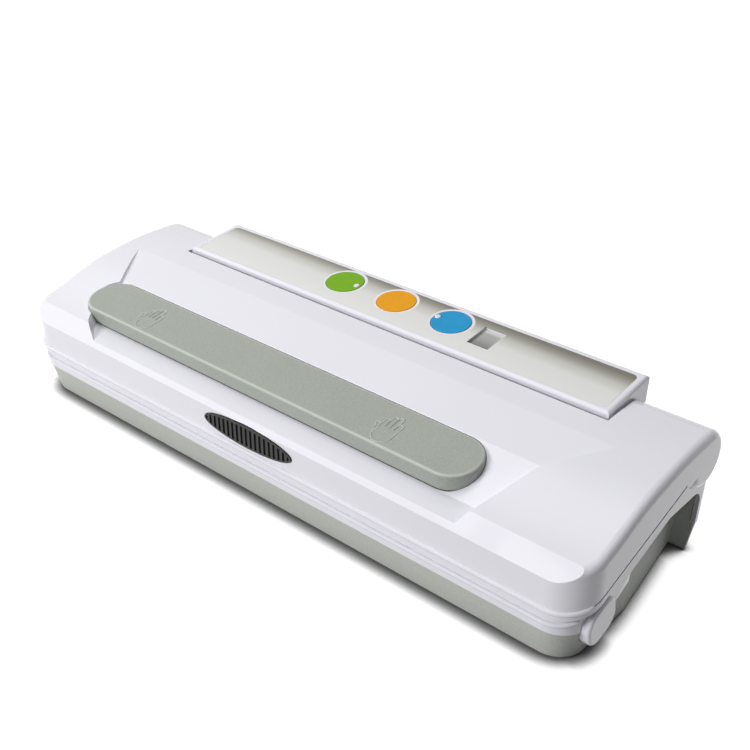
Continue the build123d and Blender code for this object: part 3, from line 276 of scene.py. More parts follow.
def floor_finish():
    floor = Finish("studio_floor")
    occlusion = {"Distance": SHADOW_REACH}
    openness = floor.node("ShaderNodeAmbientOcclusion", {"samples": SHADOW_SAMPLES}, occlusion, "AO")
    glow = floor.ease(openness, *SHADOW_SHARES) * seen(floor)
    roughness = FLOOR_ROUGHNESS + FLOOR_UNEVEN * floor.cloud(floor.place(), FLOOR_BLOTCH)
    floor.paint(FLOOR_TONE, roughness, Specular_IOR_Level=0.0, Emission_Strength=1.0)
    floor.feed(floor.shader.inputs["Emission Color"], floor.mix(glow, BLACK, WHITE))
    return floor.material


floor_mesh = bpy.data.meshes.new("studio_floor")
signs = ((-1, -1), (1, -1), (1, 1), (-1, 1))
corners = [(FLOOR_HALF * x, FLOOR_HALF * y, -FLOOR_DROP) for x, y in signs]
floor_mesh.from_pydata(corners, [], [(0, 1, 2, 3)])
floor_piece = bpy.data.objects.new("studio_floor", floor_mesh)
bpy.context.scene.collection.objects.link(floor_piece)
floor_mesh.materials.append(floor_finish())
floor_piece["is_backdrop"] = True
print("floor:", 2 * FLOOR_HALF, "m wide, shadow reach", SHADOW_REACH / MM, "mm")

# %% [markdown]
# ## Lamps and room
#
# A large soft lamp overhead lights the top, a lower one at the left front lights the upright faces, and
# the right end stays in shade. Two slim panes are the window that mirrors in the lid's bevel; the large
# lamps are kept out of reflections, which would burn white patches into the gloss. The world could light
# everything evenly, but then no face would stand out, so it is dim for light and white only to the
# camera.

# %% Lamps and room
ROOM_LIGHT = 0.17
LAMP_AIM = Vector((0, 0, 0.04))


def lamp(name, spot, width, height, power, mirrored):
    """An area lamp that faces the machine, with or without its own reflection."""
    data = bpy.data.lights.new(name, "AREA")
    data.shape = "RECTANGLE"
    data.size = width
    data.size_y = height
    data.energy = power
    aim = (Vector(spot) - LAMP_AIM).to_track_quat("Z", "Y")
    made = bpy.data.objects.new(name, data)
    made.matrix_world = Matrix.Translation(spot) @ aim.to_matrix().to_4x4()
    made.visible_glossy = mirrored
    bpy.context.scene.collection.objects.link(made)


lamp("lamp_overhead", spot=(-0.4, -0.05, 1.5), width=1.1, height=0.9, power=11.4, mirrored=False)
lamp("lamp_left_front", spot=(-0.55, -1.55, 0.66), width=0.8, height=0.6, power=22.6, mirrored=False)
lamp("window_pane_left", spot=(-0.76, -1.38, 1.24), width=0.10, height=0.10, power=0.06, mirrored=True)
lamp("window_pane_right", spot=(-0.58, -1.46, 1.24), width=0.16, height=0.10, power=0.10, mirrored=True)

world = bpy.data.worlds.new("room")
world.use_nodes = True
bpy.context.scene.world = world
room = Formula(world.node_tree)
background = world.node_tree.nodes["Background"]
background.inputs["Color"].default_value = WHITE
room.feed(background.inputs["Strength"], ROOM_LIGHT + (1 - ROOM_LIGHT) * seen(room))
bpy.context.scene.view_settings.view_transform = "Standard"
print("lamps:", list(bpy.data.lights.keys()), "room light", ROOM_LIGHT)

# %% [markdown]
# ## White gloss moulding
#
# The lid, the deck, the console and the side buttons are one glossy white plastic. A polished mould
# leaves no grain, only a very fine peel and slow, shallow waves where the walls cooled. Both are far
# smaller than anything that could be modelled, so they are bump: the waves bend reflections softly, and
# the peel takes the edge off them. All sizes and heights are in millimetres.

# %% White gloss moulding
GLOSS_DRIFT_SIZE = 60.0
WAVE_SIZE = 22.0
WAVE_HEIGHT = 0.02
PEEL_SIZE = 1.3
PEEL_HEIGHT = 0.0006
HAZE_SIZE = 7.0
HAZE_ROUGHNESS = 0.1
GLOSS_ROUGHNESS = 0.2


def gloss_moulding(name, light, dark):
    finish = Finish(name)
    place = finish.place()
    drift = finish.cloud(place, GLOSS_DRIFT_SIZE)
    waves = finish.cloud(place, WAVE_SIZE, detail=1.0)
    peel = finish.cloud(place, PEEL_SIZE, detail=1.0)
    haze = finish.cloud(place, HAZE_SIZE, detail=4.0, rough=0.65)
    colour = finish.mix(drift, dark, light)
    roughness = GLOSS_ROUGHNESS + HAZE_ROUGHNESS * haze
    height = WAVE_HEIGHT * waves + PEEL_HEIGHT * peel
    return finish.paint(colour, roughness, height, Coat_Weight=0.6, Coat_Roughness=0.05)


finishes = {"white_gloss": gloss_moulding("white_gloss", tone(232, 231, 239), tone(226, 225, 233))}
print("finish:", list(finishes))

# %% [markdown]
# ## Grained mouldings
#
# The tray, the press pad and the grip come from moulds with an eroded, sparkling surface that hides
# scratches. Such a grain could be scattered as small bumps, but it is under a tenth of a millimetre
# high, so two noises of different size make it: one lifts the surface, the other lightens and darkens it
# grain by grain. Hands polish the pad's rim smoother. Its rim and the tops of the raised marks are also
# lightened, a painted highlight, and the gap at its foot is darkened, a painted shade. The pad's own
# tilted axes say where these lie.

# %% Grained mouldings
GRAIN_DRIFT_SIZE = 45.0
SPECKLE_PER_GRAIN = 1.7
SPECKLE_RANGE = (0.3, 0.7)
SPECKLE_SHARE = 0.65
GRAIN_ROUGHNESS = 0.14
PAD_TILT = math.radians(11.5)
PAD_WIDTH = 31.0
PAD_THICK = 9.5
# Painted highlight: the pale tone that the pad's rim and the tops of its raised marks are lightened towards.
RIM_HIGHLIGHT_TONE = tone(212, 215, 206)
RIM_OUTER = (0.1, 0.6)
RIM_INNER = (1.0, 1.9)
CREST_RISE = 0.15
HIGHLIGHT_TINT = 0.5
POLISH_SHINE = 0.15
# Painted shade: the dark tone, and how high up the pad's wall and how fully it darkens the gap at the foot.
GAP_SHADE_TONE = tone(40, 41, 38)
GAP_SHADE_HEIGHT = 1.1
GAP_SHADE_COVER = 0.9

pad_low, pad_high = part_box("press_pad")
pad_length = pad_high.x - pad_low.x
pad_half = PAD_WIDTH * MM / 2
pad_foot = Vector(
    (
        (pad_low.x + pad_high.x) / 2,
        pad_high.y - pad_half * math.cos(PAD_TILT),
        pad_low.z + pad_half * math.sin(PAD_TILT),
    )
)


def grained_moulding(name, grain, depth, roughness, light, dark, wear_and_painted_light=None):
    """A grained plastic; the last argument says where it is polished with a painted highlight and where painted
    shade darkens it.
    """
    finish = Finish(name)
    place = finish.place()
    grains = finish.cloud(place, grain, detail=3.0, rough=0.6)
    flecks = finish.cloud(place, SPECKLE_PER_GRAIN * grain, detail=4.0, rough=0.7)
    speckle = finish.ease(flecks, *SPECKLE_RANGE)
    drift = finish.cloud(place, GRAIN_DRIFT_SIZE)
    colour = finish.mix(SPECKLE_SHARE * speckle + (1 - SPECKLE_SHARE) * drift, dark, light)
    matt = roughness + GRAIN_ROUGHNESS * (grains - NOISE_MEAN)
    if wear_and_painted_light:
        polish_and_highlight, dust_and_shade = wear_and_painted_light(finish)
        # Painted highlight: polished places are lightened towards the pale tone; painted shade: the gap at the
        # foot is darkened towards the dark tone.
        highlighted = finish.mix(HIGHLIGHT_TINT * polish_and_highlight, colour, RIM_HIGHLIGHT_TONE)
        colour = finish.mix(GAP_SHADE_COVER * dust_and_shade, highlighted, GAP_SHADE_TONE)
        matt = matt - POLISH_SHINE * polish_and_highlight
    return finish.paint(colour, matt, depth * grains)


def pad_wear_and_painted_light(finish):
    """Polish and a painted highlight on the rounded rim and on what stands above the pad, and painted shade in the
    gap at its foot.
    """
    along, across, up = finish.axes(finish.place(pad_foot, (PAD_TILT, 0, 0)))
    beyond = abs(along) - (pad_length / MM - PAD_WIDTH) / 2
    inside = PAD_WIDTH / 2 - (beyond.larger(0.0) ** 2 + across**2) ** 0.5
    # The rim and the tops of the raised marks get a painted highlight; the lowest millimetre of the wall gets
    # painted shade.
    rim = finish.ease(inside, *RIM_OUTER) * (1 - finish.ease(inside, *RIM_INNER))
    crest = finish.ease(up, PAD_THICK, PAD_THICK + CREST_RISE)
    dust_and_shade = 1 - finish.ease(up, 0.5 * GAP_SHADE_HEIGHT, GAP_SHADE_HEIGHT)
    return rim.larger(crest), dust_and_shade


# Each row: grain size and depth in millimetres, roughness, light tone, dark tone.
GRAINED = {
    "tray_grey": (0.7, 0.03, 0.5, tone(200, 204, 197), tone(185, 189, 181)),
    "pad_sage": (0.5, 0.05, 0.46, tone(171, 177, 169), tone(147, 153, 144)),
    "grip_black": (0.6, 0.03, 0.5, tone(42, 42, 43), tone(24, 24, 25)),
    "liner_white": (0.8, 0.02, 0.45, tone(226, 227, 226), tone(216, 217, 216)),
    "digit_black": (0.5, 0.01, 0.4, tone(52, 52, 52), tone(36, 36, 36)),
    "pump_black": (0.8, 0.03, 0.55, tone(62, 62, 64), tone(44, 44, 46)),
    "bar_phenolic": (2.5, 0.01, 0.45, tone(128, 92, 66), tone(104, 72, 50)),
}
WEAR_AND_PAINTED_LIGHT = {"pad_sage": pad_wear_and_painted_light}
for name, row in GRAINED.items():
    finishes[name] = grained_moulding(name, *row, wear_and_painted_light=WEAR_AND_PAINTED_LIGHT.get(name))
print("finishes:", list(GRAINED))

# %% [markdown]
# ## Printed film
#
# The control film is printed from behind: pale at its front edge, then darker and darker to an olive
# grey at the rear, with a pale ring round each key. The print has its own axes, tilted with the console,
# so the pattern is placed with the tilt that the key joints already have, and the rings take their
# centres from the keys.

# %% Printed film
FILM_SLANT = 0.09
FILM_STOPS = (
    (0.0, tone(228, 228, 227)),
    (0.5, tone(222, 222, 219)),
    (0.72, tone(196, 195, 188)),
    (0.88, tone(148, 146, 136)),
    (1.0, tone(114, 111, 99)),
)
FILM_ROUGHNESS = 0.3
DOT_SIZE = 0.5
DOT_HEIGHT = 0.01
DOT_ROUGHNESS = 0.1
BUCKLE_SIZE = 12.0
BUCKLE_HEIGHT = 0.05
RING_OUTER = 13.0
RING_SOFT = 0.25
RING_TONES = {
    "vacuum_key": tone(236, 234, 242),
    "stop_key": tone(238, 236, 240),
    "time_key": tone(240, 228, 226),
}
press_axis = next(joint["axis"] for joint in frame["joints"] if joint["name"] == "stop_key_press")
FILM_TILT = math.atan2(press_axis[1], -press_axis[2])


def middle(node):
    low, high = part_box(node)
    return (low + high) / 2


def half_sizes(node):
    """Half the length and half the depth of a piece on the film's slope, in millimetres."""
    low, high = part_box(node)
    return (high.x - low.x) / 2 / MM, (high.y - low.y) / 2 / MM / math.cos(FILM_TILT)


def printed_film():
    finish = Finish("film_print")
    centre = middle("control_film")
    place = finish.place(centre, (FILM_TILT, 0, 0))
    along, across, _ = finish.axes(place)
    half_length, half_depth = half_sizes("control_film")
    share = across / (2 * half_depth) + along * (FILM_SLANT / half_length) + 0.5
    colour = finish.node("ShaderNodeValToRGB", {"stops": FILM_STOPS}, {0: share})
    for key, ring_tone in RING_TONES.items():
        offset = (middle(key) - centre) / MM
        reach = ((along - offset.x) ** 2 + (across - offset.y / math.cos(FILM_TILT)) ** 2) ** 0.5
        ring = 1 - finish.ease(reach, RING_OUTER - RING_SOFT, RING_OUTER + RING_SOFT)
        colour = finish.mix(ring, colour, ring_tone)
    dots = finish.cloud(place, DOT_SIZE)
    buckles = finish.cloud(place, BUCKLE_SIZE, detail=1.0)
    roughness = FILM_ROUGHNESS + DOT_ROUGHNESS * dots
    return finish.paint(colour, roughness, DOT_HEIGHT * dots + BUCKLE_HEIGHT * buckles)


finishes["film_print"] = printed_film()
print("film tilt:", round(math.degrees(FILM_TILT), 2), "degrees; rings at", list(RING_TONES))

# %% [markdown]
# ## Key caps
#
# The three keys are round caps of matt plastic, green, orange and blue. One flat colour would look like
# paper, so each cap has a slow swell, a fine grain and the faint smear of fingers, all from noise. A low
# specular level keeps the colours deep under the overhead lamp.

# %% Key caps
CAP_TINT_SIZE = 5.0
CAP_SWELL_SIZE = 4.0
CAP_SWELL_HEIGHT = 0.02
CAP_GRAIN_SIZE = 0.6
CAP_GRAIN_HEIGHT = 0.004
CAP_SMEAR_SIZE = 2.0
CAP_SMEAR_ROUGHNESS = 0.1
CAP_ROUGHNESS = 0.36


def key_cap(name, light, dark):
    finish = Finish(name)
    place = finish.place()
    colour = finish.mix(finish.cloud(place, CAP_TINT_SIZE), dark, light)
    swell = finish.cloud(place, CAP_SWELL_SIZE, detail=1.0)
    height = CAP_SWELL_HEIGHT * swell + CAP_GRAIN_HEIGHT * finish.cloud(place, CAP_GRAIN_SIZE)
    roughness = CAP_ROUGHNESS + CAP_SMEAR_ROUGHNESS * finish.cloud(place, CAP_SMEAR_SIZE)
    return finish.paint(colour, roughness, height, Specular_IOR_Level=0.18)


finishes["key_green"] = key_cap("key_green", tone(120, 177, 4), tone(108, 165, 2))
finishes["key_orange"] = key_cap("key_orange", tone(238, 166, 6), tone(228, 153, 3))
finishes["key_blue"] = key_cap("key_blue", tone(34, 158, 210), tone(22, 144, 198))
print("finishes:", list(finishes)[-3:])

# %% [markdown]
# ## Window and lights
#
# A smoked window covers the digit, and each of two keys has a small clear light. Seen by day they are
# almost opaque, so glass with real refraction would only add noise: a smooth tinted surface with a sharp
# coat looks the same.

# %% Window and lights
# Painted shade and light: the window darkens towards the front, and pale bands at its rear and right edge stand
# for the lit walls of its recess.
WINDOW_FRONT_TONE = tone(108, 108, 104)
WINDOW_REAR_TONE = tone(160, 160, 156)
WINDOW_LIT_BAND_TONE = tone(206, 206, 204)
WINDOW_SHADE_END = 0.4
WINDOW_REAR_LIT_BAND = (4.0, 1.2)
WINDOW_SIDE_LIT_BAND = 2.4
WINDOW_ROUGHNESS = 0.12
WINDOW_SMEAR_SIZE = 3.0
WINDOW_SMEAR_ROUGHNESS = 0.06
LENS_TONES = (tone(222, 218, 214), tone(240, 238, 236))
LENS_TINT_SIZE = 1.2
LENS_ROUGHNESS = 0.15
LENS_SMEAR_SIZE = 0.7
LENS_SMEAR_ROUGHNESS = 0.1


def smoked_window():
    finish = Finish("window_clear")
    place = finish.place(middle("display_window"), (FILM_TILT, 0, 0))
    along, across, _ = finish.axes(place)
    half_length, half_depth = half_sizes("display_window")
    # Painted shade: darker towards the front. Painted light: pale bands along the rear and right edges, where the
    # recess walls are lit.
    rearward = finish.ease(across, -half_depth, WINDOW_SHADE_END * half_depth)
    shade = finish.mix(rearward, WINDOW_FRONT_TONE, WINDOW_REAR_TONE)
    rear_lit_band = finish.ease(across, *(half_depth - edge for edge in WINDOW_REAR_LIT_BAND))
    side_lit_band = finish.ease(along, half_length - WINDOW_SIDE_LIT_BAND, half_length)
    colour = finish.mix(rear_lit_band.larger(side_lit_band), shade, WINDOW_LIT_BAND_TONE)
    roughness = WINDOW_ROUGHNESS + WINDOW_SMEAR_ROUGHNESS * finish.cloud(place, WINDOW_SMEAR_SIZE)
    return finish.paint(colour, roughness, Coat_Weight=0.5)


def light_lens():
    finish = Finish("light_lens")
    place = finish.place()
    colour = finish.mix(finish.cloud(place, LENS_TINT_SIZE), *LENS_TONES)
    roughness = LENS_ROUGHNESS + LENS_SMEAR_ROUGHNESS * finish.cloud(place, LENS_SMEAR_SIZE)
    return finish.paint(colour, roughness, Coat_Weight=0.6)


finishes["window_clear"] = smoked_window()
finishes["light_lens"] = light_lens()
print("finishes:", list(finishes)[-2:])

# %% [markdown]
# ## Foam, rubber and silicone
#
# The two rings that close the vacuum chamber are closed-cell foam: matt, dark and full of small pores.
# The feet, the gland, the hose and the pressure strip are smoother. A Voronoi texture gives cells with
# walls between them, so it makes the pores, and its scale alone turns foam into rubber.

# %% Foam, rubber and silicone
DUST_SIZE = 9.0
DUST_SHARE = 0.5
DUST_ROUGHNESS = 0.15


def soft_moulding(name, cell, depth, roughness, light, dark):
    finish = Finish(name)
    place = finish.place()
    pores = finish.node("ShaderNodeTexVoronoi", None, {"Vector": place, "Scale": 1 / cell})
    dust_and_shade = finish.cloud(place, DUST_SIZE, detail=4.0)
    colour = finish.mix(DUST_SHARE * dust_and_shade + (1 - DUST_SHARE) * pores, dark, light)
    return finish.paint(colour, roughness + DUST_ROUGHNESS * dust_and_shade, depth * pores)


# Each row: cell size and depth in millimetres, roughness, light tone, dark tone.
SOFT = {
    "foam_black": (0.7, 0.12, 0.8, tone(70, 70, 71), tone(38, 38, 39)),
    "rubber_black": (0.4, 0.02, 0.65, tone(58, 58, 58), tone(40, 40, 40)),
    "silicone_grey": (0.5, 0.01, 0.5, tone(206, 206, 202), tone(190, 190, 186)),
    "hose_clear": (2.0, 0.01, 0.35, tone(226, 227, 222), tone(208, 209, 204)),
}
for name, row in SOFT.items():
    finishes[name] = soft_moulding(name, *row)
print("finishes:", list(SOFT))

# %% [markdown]
# ## Woven release sheet
#
# The heating strip is covered by a tan glass cloth with a slippery coat. Its weave is a half-millimetre
# grid of threads that pass over and under. Two waves, one along and one across, say where the threads
# lie, and a checker made of their signs says which of them is on top.

# %% Woven release sheet
DECK_TILT = math.radians(17.2)
THREAD = 0.55
THREAD_HEIGHT = 0.05
THREAD_ROUGHNESS = 0.15
CROSSING = 0.2
STAIN_SIZE = 25.0
WEAVE_SHARE = 0.6
SHEET_TONES = (tone(150, 116, 74), tone(190, 156, 110))
SHEET_ROUGHNESS = 0.35


def woven_sheet():
    finish = Finish("sheet_tan")
    along, across, _ = finish.axes(finish.place(middle("release_sheet"), (DECK_TILT, 0, 0)))
    turns = math.pi / THREAD
    warp = (along * turns).sine()
    weft = (across * turns).sine()
    over = finish.ease(warp * weft, -CROSSING, CROSSING)
    weave = over * abs(warp) + (1 - over) * abs(weft)
    stain = finish.cloud(finish.place(), STAIN_SIZE, detail=4.0)
    colour = finish.mix(WEAVE_SHARE * weave + (1 - WEAVE_SHARE) * stain, *SHEET_TONES)
    return finish.paint(colour, SHEET_ROUGHNESS + THREAD_ROUGHNESS * weave, THREAD_HEIGHT * weave)


finishes["sheet_tan"] = woven_sheet()
print("weave:", THREAD, "mm threads, tilted", round(math.degrees(DECK_TILT), 1), "degrees")

# %% [markdown]
# ## Metals
#
# The pins, springs, screws, the heating strip, the motor can and the iron core are metal, mostly drawn
# or rolled, so their scratches run one way. Noise that is stretched along one axis gives that: the same
# cloud, with its place squeezed. A second, even noise is the bloom that handling leaves.

# %% Metals
STRETCH = 14.0
STREAK_SHARE = 0.7
STREAK_HEIGHT = 0.01
BLOOM_SIZE = 3.0
BLOOM_ROUGHNESS = 0.2


def drawn_metal(name, streak, roughness, metallic, light, dark):
    finish = Finish(name)
    squeeze = {0: finish.place(), 1: (1 / STRETCH, 1, 1)}
    drawn = finish.node("ShaderNodeVectorMath", {"operation": "MULTIPLY"}, squeeze)
    lines = finish.cloud(drawn, streak, detail=4.0, rough=0.6)
    bloom = finish.cloud(finish.place(), BLOOM_SIZE, detail=3.0)
    colour = finish.mix(STREAK_SHARE * lines + (1 - STREAK_SHARE) * bloom, dark, light)
    matt = roughness + BLOOM_ROUGHNESS * (bloom - NOISE_MEAN)
    return finish.paint(colour, matt, STREAK_HEIGHT * lines, Metallic=metallic)


# Each row: width of a streak in millimetres, roughness, metallic share, light tone, dark tone.
METALS = {
    "steel": (0.5, 0.3, 1.0, tone(206, 207, 208), tone(174, 176, 178)),
    "heater_steel": (0.4, 0.32, 1.0, tone(208, 205, 199), tone(180, 176, 170)),
    "motor_steel": (0.8, 0.4, 1.0, tone(184, 186, 190), tone(164, 166, 170)),
    "core_iron": (0.5, 0.55, 0.8, tone(140, 136, 132), tone(110, 106, 102)),
}
for name, row in METALS.items():
    finishes[name] = drawn_metal(name, *row)
print("finishes:", list(METALS))

# %% [markdown]
# ## Circuit boards
#
# The circuit boards are green mask over copper. Tracks could be drawn one by one, but the boards are
# inside and only their pattern counts, so a brick texture lays it out: the joints between its bricks are
# the tracks. Dust dulls it.

# %% Circuit boards
BOARD_ROUGHNESS = 0.3
BOARD_DUST_SIZE = 4.0
BOARD_DUST_SHARE = 0.2
BOARD_DUST_HEIGHT = 0.02
BOARD_DUST_ROUGHNESS = 0.2
BOARD_DUST_TONE = tone(150, 160, 150)


def circuit_board():
    finish = Finish("board_green")
    tracks = finish.node(
        "ShaderNodeTexBrick",
        {"offset": 0.37},
        {
            "Vector": finish.place(),
            "Color1": tone(20, 92, 52),
            "Color2": tone(28, 104, 60),
            "Mortar": tone(52, 132, 78),
            "Scale": 0.25,
            "Mortar Size": 0.03,
        },
    )
    dust_and_shade = finish.cloud(finish.place(), BOARD_DUST_SIZE)
    colour = finish.mix(BOARD_DUST_SHARE * dust_and_shade, tracks, BOARD_DUST_TONE)
    return finish.paint(colour, BOARD_ROUGHNESS + BOARD_DUST_ROUGHNESS * dust_and_shade, BOARD_DUST_HEIGHT * dust_and_shade)


finishes["board_green"] = circuit_board()
print("finishes:", len(finishes), "of", len(record["materials"]), "slots")

# %% [markdown]
# ## Finishes onto nodes
#
# The record names one material slot for every CAD piece. The finishes carry the same names, so one loop
# dresses the whole machine, and a slot without a finish would stop it.

# %% Finishes onto nodes
for subpart in record["subparts"]:
    shape = nodes[subpart["node"]].data
    shape.materials.clear()
    shape.materials.append(finishes[subpart["material_slot"]])
print("dressed:", len(record["subparts"]), "nodes")

# %% [markdown]
# ## Geometry Nodes kit
#
# Some pieces follow a rule: a section carried along a path, or a mark set at several places. They could
# be drawn vertex by vertex, but a Geometry Nodes tree keeps their sizes as named inputs. `Tree` builds
# such a tree node by node, as the finishes are built, runs it once and keeps the result as a plain mesh.

# %% Geometry Nodes kit


class Tree:
    """A Geometry Nodes tree with named inputs, built node by node."""

    def __init__(self, name):
        self.tree = bpy.data.node_groups.new(name, "GeometryNodeTree")
        self.tree.interface.new_socket("Geometry", in_out="INPUT", socket_type="NodeSocketGeometry")
        self.tree.interface.new_socket("Geometry", in_out="OUTPUT", socket_type="NodeSocketGeometry")
        self.inputs = self.tree.nodes.new("NodeGroupInput")
        self.output = self.tree.nodes.new("NodeGroupOutput")

    def size(self, name, kind="NodeSocketFloat"):
        """A named input of the tree, as the socket that gives it."""
        self.tree.interface.new_socket(name, in_out="INPUT", socket_type=kind)
        return self.inputs.outputs[name]

    def node(self, kind, settings=None, sockets=None, output=0):
        made = self.tree.nodes.new(kind)
        for name, value in (settings or {}).items():
            setattr(made, name, value)
        for name, value in (sockets or {}).items():
            if isinstance(value, bpy.types.NodeSocket):
                self.tree.links.new(value, made.inputs[name])
            else:
                made.inputs[name].default_value = value
        return made.outputs[output]

    def close(self, geometry, material):
        """Ends the tree: real geometry with its material."""
        real = self.node("GeometryNodeRealizeInstances", None, {0: geometry})
        painted = self.node("GeometryNodeSetMaterial", None, {"Geometry": real, "Material": material})
        self.tree.links.new(painted, self.output.inputs[0])

    def make(self, name, mesh, sizes):
        """Runs the tree on a mesh with the given sizes and returns a plain object."""
        host = bpy.data.objects.new(name, mesh)
        bpy.context.scene.collection.objects.link(host)
        modifier = host.modifiers.new("tree", "NODES")
        modifier.node_group = self.tree
        for socket in self.tree.interface.items_tree:
            if socket.in_out == "INPUT" and socket.name in sizes:
                modifier[socket.identifier] = sizes[socket.name]
        evaluated = host.evaluated_get(bpy.context.evaluated_depsgraph_get())
        host.data = bpy.data.meshes.new_from_object(evaluated)
        host.data.name = name
        host.modifiers.clear()
        return host


print("tree kit:", [name for name in vars(Tree) if not name.startswith("_")])

# %% [markdown]
# ## Foam rings
#
# Two foam rings close the chamber round the mouth of the bag, one in the deck and one in the lid. Foam
# is never sharp: its faces swell a little and its edges are round. A ring follows a rule, a rounded
# section carried round a rounded rectangle, so a Geometry Nodes tree makes both rings from named sizes
# that are worked out from the CAD pieces.

# %% Foam rings
FOAM_WIDTH = 5.4 * MM
FOAM_CORNER = 14.0 * MM
FOAM_ROUND = 0.42
SECTION_STEPS = 6
CORNER_STEPS = 14


def rounded_rectangle(tree, width, height, radius, steps):
    """A rectangle with its corners rounded by short straight steps."""
    sides = {"Width": width, "Height": height}
    curve = tree.node("GeometryNodeCurvePrimitiveQuadrilateral", None, sides)
    sockets = {"Curve": curve, "Radius": radius, "Count": steps, "Limit Radius": True}
    return tree.node("GeometryNodeFilletCurve", {"mode": "POLY"}, sockets)


def ring_tree():
    tree = Tree("foam_ring")
    length = tree.size("Length")
    width = tree.size("Width")
    corner = tree.size("Corner")
    section_width = tree.size("Section Width")
    section_height = tree.size("Section Height")
    section_round = tree.size("Section Round")
    tilt = tree.size("Tilt", "NodeSocketVector")
    centre = tree.size("Centre", "NodeSocketVector")
    loop = rounded_rectangle(tree, length, width, corner, CORNER_STEPS)
    section = rounded_rectangle(tree, section_width, section_height, section_round, SECTION_STEPS)
    tube = tree.node("GeometryNodeCurveToMesh", None, {"Curve": loop, "Profile Curve": section})
    place = {"Geometry": tube, "Rotation": tilt, "Translation": centre}
    tree.close(tree.node("GeometryNodeTransform", None, place), finishes["foam_black"])
    return tree


def foam_ring(rings, node, body):
    """A rounded ring in place of a CAD ring, its sizes worked back from the box of the tilted ring."""
    low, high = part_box(node)
    span = high - low
    sine = math.sin(DECK_TILT)
    cosine = math.cos(DECK_TILT)
    ring_width = (span.y * cosine - span.z * sine) / (cosine**2 - sine**2)
    ring_height = (span.z * cosine - span.y * sine) / (cosine**2 - sine**2)
    sizes = {
        "Length": span.x - FOAM_WIDTH,
        "Width": ring_width - FOAM_WIDTH,
        "Corner": FOAM_CORNER,
        "Section Width": FOAM_WIDTH,
        "Section Height": ring_height,
        "Section Round": FOAM_ROUND * ring_height,
        "Tilt": (DECK_TILT, 0, 0),
        "Centre": tuple((low + high) / 2),
    }
    ring = rings.make(node.replace("gasket", "foam_ring"), bpy.data.meshes.new(node), sizes)
    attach(ring, body)
    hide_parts(node)
    print(ring.name, [round(d / MM, 1) for d in ring.dimensions], "mm,", len(ring.data.polygons), "faces")


rings = ring_tree()
foam_ring(rings, "base_gasket", "base")
foam_ring(rings, "lid_gasket", "lid")

# %% [markdown]
# ## Strokes and beads
#
# Fine raised lines on the mouldings are thin round beads. A bevelled curve could be drawn for each, but
# the lines repeat and lie on slopes, so they are drawn flat, as strokes of bare edges in millimetres.
# One tree turns the strokes into curves with a round section, sets them in a row and lays them on a
# slope.

# %% Strokes and beads
ARC_STEPS = 8


def arc(centre, radius, start, end):
    """Points of an arc in millimetres, with its ends given in degrees."""
    angles = [math.radians(start + (end - start) * step / ARC_STEPS) for step in range(ARC_STEPS + 1)]
    return [(centre[0] + radius * math.cos(a), centre[1] + radius * math.sin(a)) for a in angles]


def stroke_mesh(name, strokes):
    """The strokes as a mesh of bare edges, flat on the ground."""
    points = [(x * MM, y * MM, 0) for stroke in strokes for x, y in stroke]
    edges = []
    first = 0
    for stroke in strokes:
        edges += [(first + step, first + step + 1) for step in range(len(stroke) - 1)]
        first += len(stroke)
    mesh = bpy.data.meshes.new(name)
    mesh.from_pydata(points, edges, [])
    return mesh


def bead_tree(name, finish):
    """A tree that turns strokes into round beads, sets them in a row and lays them on a slope."""
    tree = Tree(name)
    radius = tree.size("Bead Radius")
    sides = tree.size("Bead Sides", "NodeSocketInt")
    count = tree.size("Count", "NodeSocketInt")
    start = tree.size("Start", "NodeSocketVector")
    step = tree.size("Step", "NodeSocketVector")
    tilt = tree.size("Tilt", "NodeSocketVector")
    centre = tree.size("Centre", "NodeSocketVector")
    lines = tree.node("GeometryNodeMeshToCurve", None, {"Mesh": tree.inputs.outputs["Geometry"]})
    section = tree.node("GeometryNodeCurvePrimitiveCircle", None, {"Resolution": sides, "Radius": radius})
    beads = {"Curve": lines, "Profile Curve": section, "Fill Caps": True}
    mark = tree.node("GeometryNodeCurveToMesh", None, beads)
    spots = {"Count": count, "Start Location": start, "Offset": step}
    row = tree.node("GeometryNodeMeshLine", None, spots)
    marks = tree.node("GeometryNodeInstanceOnPoints", None, {"Points": row, "Instance": mark})
    place = {"Geometry": marks, "Rotation": tilt, "Translation": centre}
    tree.close(tree.node("GeometryNodeTransform", None, place), finishes[finish])
    return tree


print("bead kit:", ARC_STEPS, "steps to an arc")

# %% [markdown]
# ## Hand marks on the pad
#
# Near each end of the pad a raised hand shows where to press. It is moulded with the pad and in its
# colour. It could be embossed with a picture, but it is only a line a third of a millimetre high, so it
# is drawn with a few strokes, a finger each, and made as beads.

# %% Hand marks on the pad
FINGER_WIDTH = 2.8
FINGER_TIPS = (5.6, 8.6, 9.2, 5.0)
PALM_DEPTH = 7.1
BEAD_RADIUS = 0.32 * MM
MARK_SHARES = (0.19, 0.815)
MARK_ACROSS = 0.5


def hand_strokes():
    """Fingers, palm and thumb, each a list of points."""
    half = FINGER_WIDTH / 2
    span = half * len(FINGER_TIPS)
    wrist = half - PALM_DEPTH
    strokes = []
    for finger, tip in enumerate(FINGER_TIPS):
        x = FINGER_WIDTH * finger + half - span
        strokes.append([(x - half, 0), *arc((x, tip - half), half, 180, 0), (x + half, 0)])
    strokes.append([(-span, 0), (-span, wrist), *arc((0, wrist), span, 180, 360), (span, 0)])
    strokes.append([(-span, -PALM_DEPTH), *arc((-span - half, 0), half, 260, 20), (-span, -half)])
    return strokes


